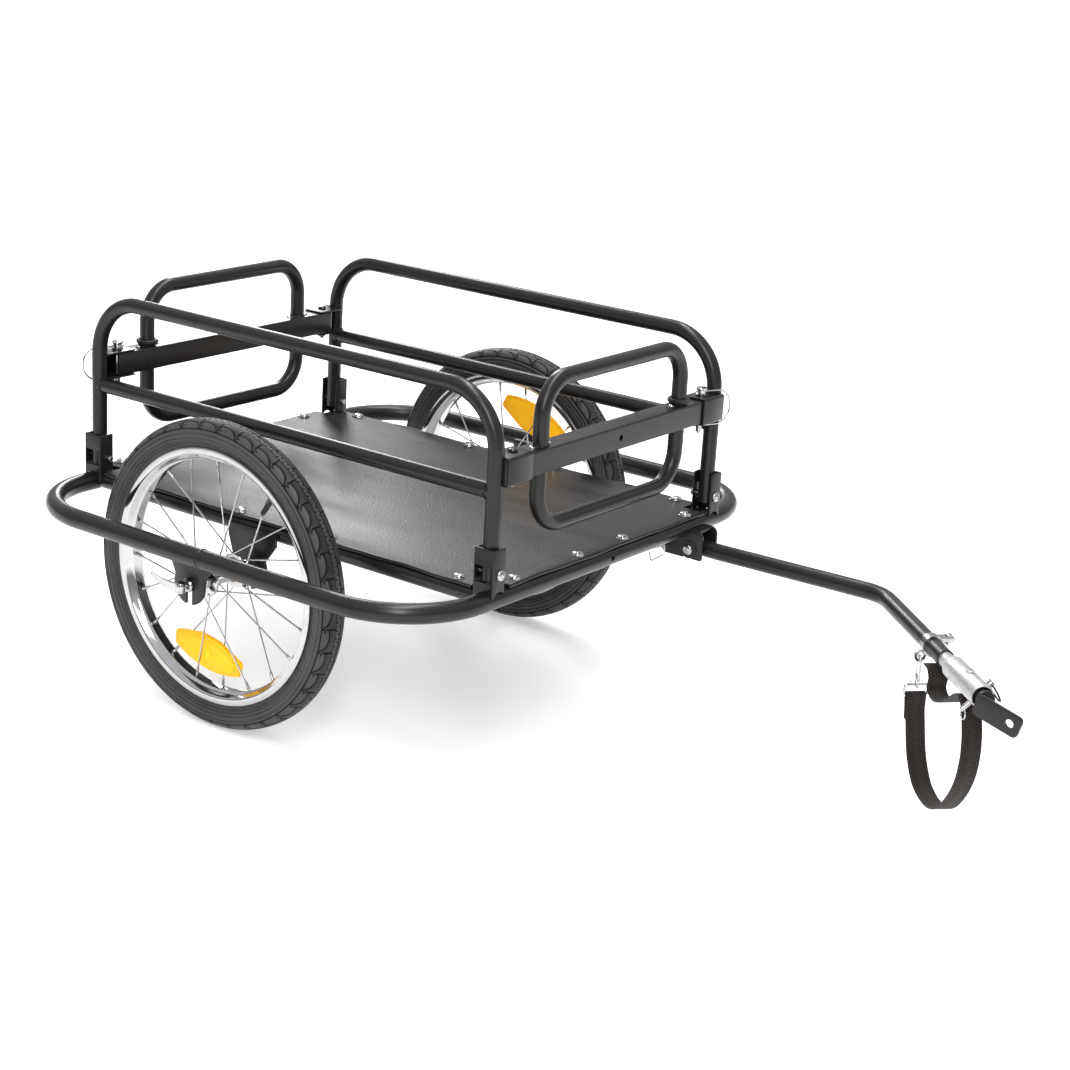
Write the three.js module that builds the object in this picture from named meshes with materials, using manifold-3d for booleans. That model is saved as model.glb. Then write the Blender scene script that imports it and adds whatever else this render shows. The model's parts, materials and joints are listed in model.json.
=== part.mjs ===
// A cargo trailer for a bicycle: a tube frame with a flat deck between two wheels, fold-down side
// hoops, lift-out end gates, and a cranked tow bar with a rubber-jointed axle tongue and a safety strap.
// Millimetres. X points forward, Y to the left and Z up. The ground is Z = 0, and until the whole is
// centred at the end of the file the wheel axle is X = 0.
import * as THREE from "three";
import { mergeVertices } from "three/addons/utils/BufferGeometryUtils.js";
import Module from "manifold-3d";

const wasm = await Module();
wasm.setup();

// Clearances and sheet stock shared by the whole trailer
const seat = 0.3;
const boltClearance = 0.4;
const overrun = 2;
const weldBite = 1;
const mergeDistance = 0.0005;

// Wheels
const beadSeatDiameter = 305;
const tyreSection = 47.5;
const rimWidth = 28;
const rimFlangeHeight = 7.5;
const rimWellDepth = 6;
const rimWall = 2.5;
const spokeCount = 20;
const spokeDiameter = 2.4;
const spokeLead = THREE.MathUtils.degToRad(38);
const hubWidth = 100;
const hubShellDiameter = 24;
const hubFlangeDiameter = 44;
const hubFlangeThickness = 3.5;
const hubFlangeSpread = 54;
const hubNoseDiameter = 20;
const hubNoseLength = 6;
const axleDiameter = 10;
const locknutDiameter = 17;
const valveDiameter = 6;
const valveLength = 24;
const reflectorOuterRadius = 137;
const reflectorInnerRadius = 101;
const reflectorThickness = 7;
const reflectorSpan = THREE.MathUtils.degToRad(50);
const reflectorCrown = THREE.MathUtils.degToRad(20);
const reflectorEndWidth = 7;

// Quick releases
const skewerDiameter = 5;
const releaseCapDiameter = 18;
const releaseCapLength = 6;
const releaseNutDiameter = 16;
const releaseNutLength = 13;
const camDiameter = 12;
const camHeight = 13;
const leverLength = 50;
const leverWidth = 11;
const leverThickness = 5;
const leverSweep = 8;
const leverTipRise = 7;

// Base frame
const ringTube = 25;
const ringAboveAxle = 48;
const guardTyreClearance = 38.15;
const frontReach = 377;
const rearReach = 293.5;
const ringBend = 117;
const ringSeam = 42;
const seamBead = 1.2;
const seamBeadWidth = 5;
const railTube = 22;
const sideOffset = 233;
const frameHoleDiameter = 7;

// Wheel plates under the frame
const dropoutSheet = 4;
const dropoutBack = 36;
const dropoutFront = 46;
const innerLobe = 30;
const outerLobe = 19;
const lobeOpening = THREE.MathUtils.degToRad(22);
const innerPlateRise = 3.5;
const outerPlateRise = 9;
const dropoutHemDepth = 14;

// Deck
const deckSheet = 3;
const deckLip = THREE.MathUtils.degToRad(68);
const deckCornerCut = 30;
const screwHeadDiameter = 14;
const screwHeadHeight = 4.5;
const frontScrewShares = [-0.81, -0.26, 0.16, 0.78];
const rearScrewShares = [-0.82, 0.74];
const sideScrewShares = [-0.82, -0.1, 0.33, 0.87];

// Side hoops and their folding sockets
const hoopTube = 20;
const hoopTop = 496.5;
const hoopBend = 72;
const midRailRise = 67;
const postInset = 3;
const postFoot = 9;
const pivotHeight = 281;
const socketLength = 30;
const socketSheet = 2.5;
const socketTop = 313;
const socketBottom = 250;
const socketWebGap = 0.8;
const socketWindowLow = 271;
const socketWindowHigh = 292;
const pivotBoltDiameter = 8;
const pivotSpacerDiameter = 14;
const boltHeadDiameter = 14;
const boltHeadHeight = 5;
const nutAcrossCorners = 15;
const nutHeight = 6.5;

// End gates, the saddles on the posts that hold them, their hinge bolts and their lock pins
const gateBar = 30;
const gateBarWall = 2.5;
const gateBarDrop = 91.5;
const gateBarHalfLength = 213;
const gateTube = 20;
const gateHalfWidth = 148;
const gateRise = 93;
const gateFall = 89;
const gateBend = 45;
const saddleSheet = 2.5;
const saddleInnerEnd = 184;
const gateBoltDiameter = 6;
const gateBoltHeadDiameter = 12;
const gateBoltHeadHeight = 3.5;
const gateBoltNut = 11.5;
const gateBoltNutHeight = 5;
const gateEndSides = 24;
const pinNotchMargin = 0.3;
const lockPinOffset = 202;
const lockPinDiameter = 8;
const lockPinHeadDiameter = 13;
const lockPinHeadHeight = 9;
const lockPinTip = 15;
const bailWire = 2.4;
const bailPastPost = 19;
const bailBend = 16;
const bailTipMargin = 4;
const bailTail = 3;

// Tow bar and its bracket
const towTube = 22;
const towTubeBore = 19;
const towDrop = 27;
const towOffset = 195;
const towToeOut = 8;
const towEndSetback = 32;
const towStraightAdvance = 53;
const towBendAdvance = 288;
const towBend = 60;
const towYaw = THREE.MathUtils.degToRad(42.7);
const towForeLength = 224;
const towRearBoreDepth = 10;
const towForeBoreDepth = 24;
const towPivotSetback = 20;
const towBoltAdvance = 13;
const towBracketInner = 30;
const towBracketSheet = 4;
const towBracketAdvance = 36;
const towBracketRise = 2;
const towBracketFall = 13;
const towTailSetback = 31;
const towBracketTailRise = 6;
const towBracketTailLength = 7;
const towPinDiameter = 8;
const towPinHeadDiameter = 13;
const towPinHeadHeight = 4;
const towPinTip = 13;
const towSlotDrift = 4;
const clipWire = 2;
const clipLength = 20;
const clipHalfWidth = 5;
const clipClearance = 0.4;

// Strap clamp on the tow bar, measured along the bar's last run from its bend
const clampStation = 178;
const clampWidth = 13;
const clampWall = 2.2;
const clampEarReach = 12;
const clampEarThickness = 6;
const clampLugReach = 11;
const clampLugThickness = 2.5;
const clampLugHole = 8.5;
const clampLugRadius = 7.5;
const clampEarHole = 5;

// Coupling at the end of the tow bar
const sleeveDiameter = 28;
const sleeveBoreDiameter = 24.4;
const sleeveNeckClearance = 0.3;
const sleeveShoulder = 240;
const sleeveShoulderLength = 10;
const sleeveMouth = 342;
const sleeveMouthChamfer = 2;
const sleeveNeckDepth = 18;
const sleeveBoreDepth = 36;
const sleeveBossStation = 300;
const sleeveBossDiameter = 10;
const sleeveBossHeight = 2.5;
const sleeveBossHole = 4;
const jointStation = 331;
const jointBall = 23.6;
const jointNeck = 17;
const jointFlange = 22;
const jointFlangeStation = 347;
const jointFlangeThickness = 5;
const jointSwing = THREE.MathUtils.degToRad(15);
const studDiameter = 10;
const studClearance = 0.3;
const studDepth = 9;
const tongueOffset = -47;
const tongueThickness = 5;
const tongueWidth = 26;
const tongueLength = 58;
const tongueBehindStud = 20;
const tongueDroop = THREE.MathUtils.degToRad(15.5);
const tongueDrop = 7;
const tongueCorner = 5;
const tongueHole = 10.5;
const tongueHoleFromEnd = 13.5;
const hitchPinDiameter = 6;
const hitchPinTilt = THREE.MathUtils.degToRad(45);
const hitchPinHead = 20;
const hitchPinHeadDiameter = 10.5;
const hitchPinTip = 28;
const hitchRing = { radius: 7, wire: 1.6, lean: 0 };
const tether = { radius: 12, wire: 2.4, lean: THREE.MathUtils.degToRad(30) };

// Safety strap, its buckle and its snap hook
const strapWidth = 25;
const strapThickness = 1.8;
const strapStepsPerPoint = 3;
const buckleWidth = 33;
const buckleHeight = 17;
const buckleBar = 3.4;
const buckleStation = 160;
const buckleSide = -6;
const buckleLevel = 157;
const hookWire = 3.6;
const hookHalfWidth = 5.5;
const hookEyeRadius = 3.8;
const hookEyeWire = 2.6;
const hookNeckDiameter = 6.5;
const hookNeckLength = 8;
const hookNose = 12;
const hookPlay = 1.6;
const hookGateWire = 2.2;

// Sides and steps of round shapes
const tubeSides = 12;
const boltSides = 8;
const wireSides = 5;
const bendSteps = 5;
const wireBendSteps = 3;
const wheelSteps = 32;
const hubSteps = 12;
const spokeSides = 4;

// Heights and lines that several pieces share
const wheelRadius = beadSeatDiameter / 2 + tyreSection;
const ringRadius = ringTube / 2;
const ringHeight = wheelRadius + ringAboveAxle;
const railRadius = railTube / 2;
const railHeight = ringHeight + ringRadius - railRadius;
const deckUnderside = ringHeight + ringRadius + seat;
const innerPlateFace = sideOffset + railRadius + seat;
const wheelOffset = innerPlateFace + dropoutSheet + seat + hubWidth / 2;
const outerPlateFace = wheelOffset + hubWidth / 2 + seat;
const guardInnerLine = wheelOffset + tyreSection / 2 + guardTyreClearance;
const ringHalfWidth = guardInnerLine + ringRadius;
const hoopRadius = hoopTube / 2;
const midRailHeight = socketTop + midRailRise;
const postReach = { front: frontReach - postInset, rear: -rearReach + postInset };
const gateBarHeight = hoopTop - gateBarDrop;
const gateTop = gateBarHeight + gateRise;
const gateBottom = gateBarHeight - gateFall;
const gateBarTop = gateBarHeight + gateBar / 2;
const gateBarBottom = gateBarHeight - gateBar / 2;
const saddleFloor = gateBarBottom - seat - saddleSheet;
const saddleCeiling = gateBarTop + seat + saddleSheet;
const saddleHalfWidth = gateBar / 2 + seat + saddleSheet;
const lockPinRadius = lockPinDiameter / 2;
const bailUpperLeg = saddleCeiling + seat + lockPinHeadHeight / 2;
const bailLowerLeg = saddleFloor - lockPinTip + bailTipMargin;
const bailOpening = bailUpperLeg - bailLowerLeg;
const bailSide = Math.asin((hoopRadius + bailWire / 2 + boltClearance) / (sideOffset - lockPinOffset));
const towRadius = towTube / 2;
const towHeight = ringHeight - towDrop;
const towBracketTop = ringHeight + towBracketRise;
const towBracketBottom = towHeight - towBracketFall;
const towRearEnd = frontReach - towEndSetback;
const towPivotReach = frontReach - towPivotSetback;
const towBoltReach = frontReach + towBoltAdvance;
const towBracketFront = frontReach + towBracketAdvance;
const towBracketTail = frontReach - towTailSetback;
const towStraight = frontReach + towStraightAdvance;
const towBendReach = frontReach + towBendAdvance;
const sides = { left: 1, right: -1 };
const ends = { front: 1, rear: -1 };
const hingeSide = { front: "right", rear: "left" };
const lockSide = { front: "left", rear: "right" };

// Finishes
const finishes = {
  blackPaint: { color: 0x1c1c1d, roughness: 0.38, metalness: 0.3 },
  deckBoard: { color: 0x2b2b2c, roughness: 0.62, metalness: 0.0 },
  tyreRubber: { color: 0x262626, roughness: 0.85, metalness: 0.0 },
  chrome: { color: 0xd6d8da, roughness: 0.12, metalness: 1.0 },
  zinc: { color: 0xb9bbbd, roughness: 0.32, metalness: 0.9 },
  silver: { color: 0xc9cacb, roughness: 0.4, metalness: 0.7 },
  orangeLens: { color: 0xf29a1c, roughness: 0.3, metalness: 0.0 },
  blackRubber: { color: 0x191919, roughness: 0.7, metalness: 0.0 },
  webbing: { color: 0x2a2523, roughness: 0.9, metalness: 0.0 },
};

const vec = (x, y, z) => new THREE.Vector3(x, y, z);

// A closed three.js geometry as a solid. A profile that was drawn the other way round is turned.
function solid(geometry) {
  const bare = geometry.index ? geometry.toNonIndexed() : geometry.clone();
  bare.deleteAttribute("normal");
  bare.deleteAttribute("uv");
  const merged = mergeVertices(bare, mergeDistance);
  const vertProperties = merged.attributes.position.array;
  const triVerts = new Uint32Array(merged.index.array);
  const made = new wasm.Manifold(new wasm.Mesh({ numProp: 3, vertProperties, triVerts }));
  if (made.volume() > 0) return made;
  for (let i = 0; i < triVerts.length; i += 3) {
    [triVerts[i + 1], triVerts[i + 2]] = [triVerts[i + 2], triVerts[i + 1]];
  }
  return new wasm.Manifold(new wasm.Mesh({ numProp: 3, vertProperties, triVerts }));
}

// The solid's faces as a geometry for a mesh.
function geometryOf(body) {
  const mesh = body.getMesh();
  const geometry = new THREE.BufferGeometry();
  geometry.setAttribute("position", new THREE.BufferAttribute(mesh.vertProperties, mesh.numProp));
  geometry.setIndex(new THREE.BufferAttribute(mesh.triVerts, 1));
  const flat = geometry.toNonIndexed();
  flat.computeVertexNormals();
  return flat;
}

function joined(...bodies) {
  return bodies.reduce((whole, body) => whole.add(body));
}

function cut(body, ...tools) {
  return tools.reduce((rest, tool) => rest.subtract(tool), body);
}

// A box between two corners, given in any order.
function block(a, b) {
  const low = a.clone().min(b);
  const size = a.clone().max(b).sub(low);
  const centre = low.addScaledVector(size, 1 / 2);
  return solid(new THREE.BoxGeometry(size.x, size.y, size.z).translate(centre.x, centre.y, centre.z));
}

// A round bar from one point to another, which tapers if a second radius is given.
function rod(from, to, radius, count = boltSides, endRadius = radius) {
  const along = to.clone().sub(from);
  const turn = new THREE.Quaternion().setFromUnitVectors(vec(0, 1, 0), along.clone().normalize());
  const middle = from.clone().addScaledVector(along, 1 / 2);
  const geometry = new THREE.CylinderGeometry(endRadius, radius, along.length(), count);
  geometry.applyQuaternion(turn).translate(middle.x, middle.y, middle.z);
  return solid(geometry);
}

// The tool for a round hole: its flats, not its corners, are at the radius.
function bore(from, to, radius, count = boltSides) {
  return rod(from, to, radius / Math.cos(Math.PI / count), count);
}

// A body turned about an axis line: the profile's points are [radius, place along the axis].
function turned(profile, from, direction, count) {
  const points = profile.map(([radius, along]) => new THREE.Vector2(radius, along));
  const turn = new THREE.Quaternion().setFromUnitVectors(vec(0, 1, 0), direction);
  const geometry = new THREE.LatheGeometry(points, count);
  return solid(geometry.applyQuaternion(turn).translate(from.x, from.y, from.z));
}

// A low dome, such as a screw's head, standing on a point.
function dome(foot, direction, radius, height, count = boltSides) {
  const profile = [[0, 0], [radius, 0], [radius * 0.93, height * 0.45], [radius * 0.5, height], [0, height]];
  return turned(profile, foot, direction, count);
}

// A route through corners, each rounded by an arc of one radius, with so many steps in a quarter turn.
function bentRoute(corners, radius, steps = bendSteps) {
  const points = [corners[0].clone()];
  for (let i = 1; i < corners.length - 1; i++) {
    const back = corners[i - 1].clone().sub(corners[i]).normalize();
    const ahead = corners[i + 1].clone().sub(corners[i]).normalize();
    const half = back.angleTo(ahead) / 2;
    const inward = back.clone().add(ahead).normalize();
    const centre = corners[i].clone().addScaledVector(inward, radius / Math.sin(half));
    const from = corners[i].clone().addScaledVector(back, radius / Math.tan(half)).sub(centre);
    const axis = ahead.clone().cross(back).normalize();
    const sweep = Math.PI - 2 * half;
    const count = Math.ceil((steps * sweep) / (Math.PI / 2));
    for (let k = 0; k <= count; k++) {
      points.push(from.clone().applyAxisAngle(axis, (sweep * k) / count).add(centre));
    }
  }
  points.push(corners[corners.length - 1].clone());
  return points;
}

// A polyline as a three.js curve whose stations are its own points.
class Polyline extends THREE.Curve {
  constructor(points) {
    super();
    this.points = points;
  }

  getPoint(t, target = new THREE.Vector3()) {
    const runs = this.points.length - 1;
    const i = Math.min(Math.floor(t * runs), runs - 1);
    return target.lerpVectors(this.points[i], this.points[i + 1], t * runs - i);
  }

  getPointAt(u, target) {
    return this.getPoint(u, target);
  }

  getTangentAt(u, target = new THREE.Vector3()) {
    const runs = this.points.length - 1;
    const i = Math.round(u * runs);
    target.set(0, 0, 0);
    for (const k of [i - 1, i]) {
      if (k < 0 || k >= runs) continue;
      target.add(this.points[k + 1].clone().sub(this.points[k]).normalize());
    }
    return target.normalize();
  }
}

// A section swept along a route.
function swept(section, points) {
  const extrudePath = new Polyline(points);
  return solid(new THREE.ExtrudeGeometry(section, { steps: points.length - 1, extrudePath, bevelEnabled: false }));
}

function roundSection(radius, count) {
  const corner = (k) => new THREE.Vector2(radius, 0).rotateAround(new THREE.Vector2(), (2 * Math.PI * k) / count);
  return new THREE.Shape(Array.from({ length: count }, (_, k) => corner(k)));
}

function tube(points, radius, count = tubeSides) {
  return swept(roundSection(radius, count), points);
}

// A ring of wire about a centre, in the plane square to an axis.
function wireRing(centre, axis, radius, wireRadius, count = wireSides, steps = 16) {
  const turn = new THREE.Quaternion().setFromUnitVectors(vec(0, 0, 1), axis);
  const geometry = new THREE.TorusGeometry(radius, wireRadius, count, steps);
  return solid(geometry.applyQuaternion(turn).translate(centre.x, centre.y, centre.z));
}

// A flat plate in the XZ plane, from one Y to another.
function uprightPlate(outline, fromY, toY) {
  const geometry = new THREE.ExtrudeGeometry(outline, { depth: Math.abs(toY - fromY), bevelEnabled: false });
  geometry.rotateX(Math.PI / 2).translate(0, Math.max(fromY, toY), 0);
  return solid(geometry);
}

const trailer = new THREE.Group();

// Puts a named sub-part into its place in the scene.
function place(name, finish, body, parent = trailer) {
  const mesh = new THREE.Mesh(geometryOf(body), new THREE.MeshStandardMaterial(finish));
  mesh.name = name;
  parent.add(mesh);
  return mesh;
}

// Base frame: a closed ring of tube with rounded corners, made of two bent halves butt-welded at the sides.
function frameRing() {
  const half = (reach, seam) =>
    tube(
      bentRoute(
        [
          vec(seam, -ringHalfWidth, ringHeight),
          vec(reach, -ringHalfWidth, ringHeight),
          vec(reach, ringHalfWidth, ringHeight),
          vec(seam, ringHalfWidth, ringHeight),
        ],
        ringBend,
      ),
      ringRadius,
    );
  const bead = (side) => {
    const at = (x) => vec(x, side * ringHalfWidth, ringHeight);
    return rod(at(ringSeam - seamBeadWidth / 2), at(ringSeam + seamBeadWidth / 2), ringRadius + seamBead, tubeSides);
  };
  const whole = joined(
    half(frontReach, ringSeam - weldBite),
    half(-rearReach, ringSeam + weldBite),
    bead(sides.left),
    bead(sides.right),
  );
  const holeFrom = vec(frontReach, 0, ringHeight);
  return cut(whole, rod(holeFrom, vec(frontReach + ringTube, 0, ringHeight), frameHoleDiameter / 2));
}

// The space that a cross tube of the ring takes, with the clearance of what is welded to it.
function crossTubeSpace(reach) {
  const from = vec(reach, -ringHalfWidth, ringHeight);
  return bore(from, vec(reach, ringHalfWidth, ringHeight), ringRadius + seat, tubeSides);
}

// A deck rail runs between the cross tubes, and its ends are coped to them.
function deckRail(side) {
  const whole = rod(
    vec(-rearReach, side * sideOffset, railHeight),
    vec(frontReach, side * sideOffset, railHeight),
    railRadius,
    tubeSides,
  );
  return cut(whole, crossTubeSpace(frontReach), crossTubeSpace(-rearReach));
}

// A wheel plate's outline: a wide top against a tube and a round lobe about the axle, slotted from below.
function dropoutOutline(lobe, top) {
  const outline = new THREE.Shape();
  outline.moveTo(-dropoutBack, top);
  outline.lineTo(dropoutFront, top);
  outline.lineTo(dropoutFront, ringHeight - ringRadius);
  outline.absarc(0, wheelRadius, lobe, lobeOpening, Math.PI - lobeOpening, true);
  outline.lineTo(-dropoutBack, ringHeight - ringRadius);
  return outline;
}

function axleSlot(side, fromY, toY) {
  const halfSlot = axleDiameter / 2 + seat;
  const shaft = bore(vec(0, side * fromY, wheelRadius), vec(0, side * toY, wheelRadius), halfSlot, hubSteps);
  return joined(shaft, block(vec(-halfSlot, side * fromY, 0), vec(halfSlot, side * toY, wheelRadius)));
}

function innerDropout(side) {
  const outer = innerPlateFace + dropoutSheet;
  const plate = uprightPlate(dropoutOutline(innerLobe, railHeight + innerPlateRise), side * innerPlateFace, side * outer);
  return cut(plate, axleSlot(side, innerPlateFace - overrun, outer + overrun));
}

// The outer plate's top is hemmed outward as far as the guard's weld, so that it lies against the tube.
function outerDropout(side) {
  const outer = outerPlateFace + dropoutSheet;
  const top = ringHeight + outerPlateRise;
  const plate = uprightPlate(dropoutOutline(outerLobe, top), side * outerPlateFace, side * outer);
  const hem = block(
    vec(-dropoutBack, side * (outer - weldBite), top - dropoutHemDepth),
    vec(ringSeam - seamBeadWidth, side * (guardInnerLine - seat), top),
  );
  return cut(joined(plate, hem), axleSlot(side, outerPlateFace - overrun, outer + overrun));
}

// Deck: a thin board whose edges roll over the tubes, cut back at the corners round the sockets and
// held by dome screws over the tubes' centre lines.
function deckBoard() {
  const top = deckUnderside + deckSheet;
  const board = block(vec(-rearReach, -sideOffset, deckUnderside), vec(frontReach, sideOffset, top));
  const lips = [frontLip(frontReach, 1), frontLip(-rearReach, -1), sideLip(sides.left), sideLip(sides.right)];
  const corners = [];
  for (const [end, reach] of [[ends.front, frontReach], [ends.rear, -rearReach]]) {
    for (const side of Object.values(sides)) {
      const inner = vec(reach - end * deckCornerCut, side * (sideOffset - deckCornerCut), deckUnderside - ringTube);
      const outer = vec(reach + end * ringTube, side * (sideOffset + ringTube), top + overrun);
      corners.push(block(inner, outer));
    }
  }
  const screws = [
    ...frontScrewShares.map((share) => vec(frontReach, share * sideOffset, top)),
    ...rearScrewShares.map((share) => vec(-rearReach, share * sideOffset, top)),
    ...sideScrewShares.flatMap((share) =>
      Object.values(sides).map((side) => vec(share > 0 ? share * frontReach : -share * -rearReach, side * sideOffset, top)),
    ),
  ];
  return joined(cut(joined(board, ...lips), ...corners), ...screws.map(deckScrew));
}

// The edge profile of the deck where it rolls over a tube: a part of a ring about the tube's centre.
function lipSection(radius) {
  const section = new THREE.Shape();
  const start = Math.PI / 2;
  section.absarc(0, 0, radius + seat + deckSheet, start, start - deckLip, true);
  section.absarc(0, 0, radius + seat, start - deckLip, start, false);
  return section;
}

function frontLip(reach, end) {
  const half = sideOffset - deckCornerCut + weldBite;
  const geometry = new THREE.ExtrudeGeometry(lipSection(ringRadius), {
    depth: 2 * half,
    curveSegments: bendSteps,
    bevelEnabled: false,
  });
  geometry.rotateX(Math.PI / 2).translate(0, half, 0);
  geometry.scale(end, 1, 1).translate(reach, 0, ringHeight);
  return solid(geometry);
}

function sideLip(side) {
  const from = -rearReach + deckCornerCut - weldBite;
  const geometry = new THREE.ExtrudeGeometry(lipSection(railRadius), {
    depth: frontReach - deckCornerCut + weldBite - from,
    curveSegments: bendSteps,
    bevelEnabled: false,
  });
  geometry.rotateX(Math.PI / 2).rotateZ(Math.PI / 2).translate(from, 0, 0);
  geometry.scale(1, side, 1).translate(0, side * sideOffset, railHeight);
  return solid(geometry);
}

function deckScrew(foot) {
  const up = vec(0, 0, 1);
  return dome(foot.clone().addScaledVector(up, -weldBite), up, screwHeadDiameter / 2, screwHeadHeight + weldBite);
}

// A folding socket: a channel of sheet, its web outboard with a window for the post's foot, its bottom
// coped over the frame tubes.
function socket(end, side) {
  const post = postReach[end];
  const half = socketLength / 2;
  const web = sideOffset + hoopRadius + socketWebGap;
  const at = (x, y, z) => vec(post + x, side * y, z);
  const channel = block(at(-half, sideOffset - hoopRadius, socketBottom), at(half, web + socketSheet, socketTop));
  const inside = block(
    at(-half + socketSheet, sideOffset - hoopRadius - overrun, socketBottom - overrun),
    at(half - socketSheet, web, socketTop + overrun),
  );
  const windowCut = block(
    at(-half + socketSheet, web - overrun, socketWindowLow),
    at(half - socketSheet, web + socketSheet + overrun, socketWindowHigh),
  );
  const hole = bore(
    at(-half - overrun, sideOffset, pivotHeight),
    at(half + overrun, sideOffset, pivotHeight),
    pivotBoltDiameter / 2 + seat,
  );
  const railSpace = bore(
    vec(-rearReach, side * sideOffset, railHeight),
    vec(frontReach, side * sideOffset, railHeight),
    railRadius + seat,
    tubeSides,
  );
  const tubeSpace = crossTubeSpace(end === "front" ? frontReach : -rearReach);
  return cut(channel, inside, windowCut, hole, tubeSpace, railSpace);
}

function hexNut(from, to) {
  return rod(from, to, nutAcrossCorners / 2, 6);
}

// A bolt through a two-walled bracket and what hangs in it: a shank, a dome head, a nut and two spacers.
// The line points from the nut to the head, and the widths are measured across it from its middle.
function throughBolt(middle, line, radius, bracketHalf, wall, partHalf, spacerRadius) {
  const at = (distance) => middle.clone().addScaledVector(line, distance);
  const grip = bracketHalf + seat;
  const shank = rod(at(-grip - nutHeight), at(grip + weldBite), radius);
  const head = dome(at(grip), line, boltHeadDiameter / 2, boltHeadHeight);
  const nut = hexNut(at(-grip - nutHeight + weldBite), at(-grip));
  const spacers = [1, -1].map((end) =>
    rod(at(end * (partHalf + seat)), at(end * (bracketHalf - wall - seat)), spacerRadius),
  );
  return joined(shank, head, nut, ...spacers);
}

function pivotBolt(end, side) {
  const middle = vec(postReach[end], side * sideOffset, pivotHeight);
  const line = vec(ends[end], 0, 0);
  return throughBolt(middle, line, pivotBoltDiameter / 2, socketLength / 2, socketSheet, hoopRadius, pivotSpacerDiameter / 2);
}

// A side hoop: two posts and a top rail bent from one tube, a mid rail, and a saddle on each post that
// carries a gate's bar.
function hoop(side) {
  const at = (x, z) => vec(x, side * sideOffset, z);
  const foot = pivotHeight - postFoot;
  const arch = tube(
    bentRoute(
      [
        at(postReach.rear, foot),
        at(postReach.rear, hoopTop),
        at(postReach.front, hoopTop),
        at(postReach.front, foot),
      ],
      hoopBend,
    ),
    hoopRadius,
  );
  const midRail = rod(at(postReach.rear, midRailHeight), at(postReach.front, midRailHeight), hoopRadius, tubeSides);
  const holes = Object.values(postReach).map((post) =>
    bore(at(post - hoopTube, pivotHeight), at(post + hoopTube, pivotHeight), pivotBoltDiameter / 2 + seat),
  );
  const whole = joined(arch, midRail, ...Object.keys(ends).map((end) => saddle(end, side)));
  return cut(whole, ...holes);
}

// A saddle: folded sheet over, under and outside the bar's end, open to the inside. It is drilled for the
// hinge bolt on one post and for the lock pin on the other.
function saddle(end, side) {
  const at = (x, y, z) => vec(postReach[end] + ends[end] * x, side * y, z);
  const sheet = block(
    at(-gateBar / 2, saddleInnerEnd, saddleFloor),
    at(saddleHalfWidth, sideOffset, saddleCeiling),
  );
  const inside = block(
    at(-gateBar / 2 - overrun, saddleInnerEnd - overrun, saddleFloor + saddleSheet),
    at(saddleHalfWidth - saddleSheet, sideOffset + overrun, saddleCeiling - saddleSheet),
  );
  return cut(sheet, inside, pinBore(end, side, saddleFloor - overrun, saddleCeiling + overrun));
}

// The upright bore near a gate's end, for the hinge bolt or the lock pin.
function pinBore(end, side, low, high) {
  const radius = side === sides[hingeSide[end]] ? gateBoltDiameter / 2 : lockPinRadius;
  const at = (z) => vec(postReach[end], side * lockPinOffset, z);
  return bore(at(low), at(high), radius + seat);
}

// What a gate's bar loses past its hinge bolt, where its end is rounded so that it can swing.
function hingeEndCut(end, low, high) {
  const at = (x, y, z) => vec(postReach[end] + x, sides[hingeSide[end]] * y, z);
  const past = block(at(-gateBar, lockPinOffset, low), at(gateBar, gateBarHalfLength + overrun, high));
  const round = rod(at(0, lockPinOffset, low - overrun), at(0, lockPinOffset, high + overrun), gateBar / 2, gateEndSides);
  return cut(past, round);
}

// The notch through which a gate's bar swings away from its lock pin.
function lockEndNotch(end, low, high) {
  const at = (x, y, z) => vec(postReach[end] + ends[end] * x, sides[lockSide[end]] * (lockPinOffset + y), z);
  const half = lockPinRadius + seat + pinNotchMargin;
  return block(at(0, -half, low), at(gateBar, half, high));
}

// An end gate: a square bar with an upper and a lower bow of round tube welded to it. It swings inward.
function gate(end) {
  const post = postReach[end];
  const barBox = (halfLength, half) =>
    block(vec(post - half, -halfLength, gateBarHeight - half), vec(post + half, halfLength, gateBarHeight + half));
  const bow = (root, crest) => {
    const corners = [
      vec(post, -gateHalfWidth, root),
      vec(post, -gateHalfWidth, crest),
      vec(post, gateHalfWidth, crest),
      vec(post, gateHalfWidth, root),
    ];
    return tube(bentRoute(corners, gateBend), gateTube / 2);
  };
  const low = gateBarBottom - overrun;
  const high = gateBarTop + overrun;
  const bar = cut(
    barBox(gateBarHalfLength, gateBar / 2),
    barBox(gateBarHalfLength + overrun, gateBar / 2 - gateBarWall),
    ...Object.values(sides).map((side) => pinBore(end, side, low, high)),
    hingeEndCut(end, low, high),
    lockEndNotch(end, low, high),
    rod(
      vec(post, 0, gateBarHeight),
      vec(post + ends[end] * gateBar, 0, gateBarHeight),
      frameHoleDiameter / 2,
    ),
  );
  const halfWall = gateBarWall / 2;
  return joined(bar, bow(gateBarTop - halfWall, gateTop), bow(gateBarBottom + halfWall, gateBottom));
}

// The bolt on which a gate swings, with a dome head over the saddle and a nut under it.
function gateBolt(end) {
  const at = (z) => vec(postReach[end], sides[hingeSide[end]] * lockPinOffset, z);
  const nutTop = saddleFloor - seat;
  const shank = rod(at(nutTop - gateBoltNutHeight), at(saddleCeiling + seat + weldBite), gateBoltDiameter / 2);
  const head = dome(at(saddleCeiling + seat), vec(0, 0, 1), gateBoltHeadDiameter / 2, gateBoltHeadHeight);
  const nut = rod(at(nutTop - gateBoltNutHeight + weldBite), at(nutTop), gateBoltNut / 2, 6);
  return joined(shank, head, nut);
}

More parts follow.
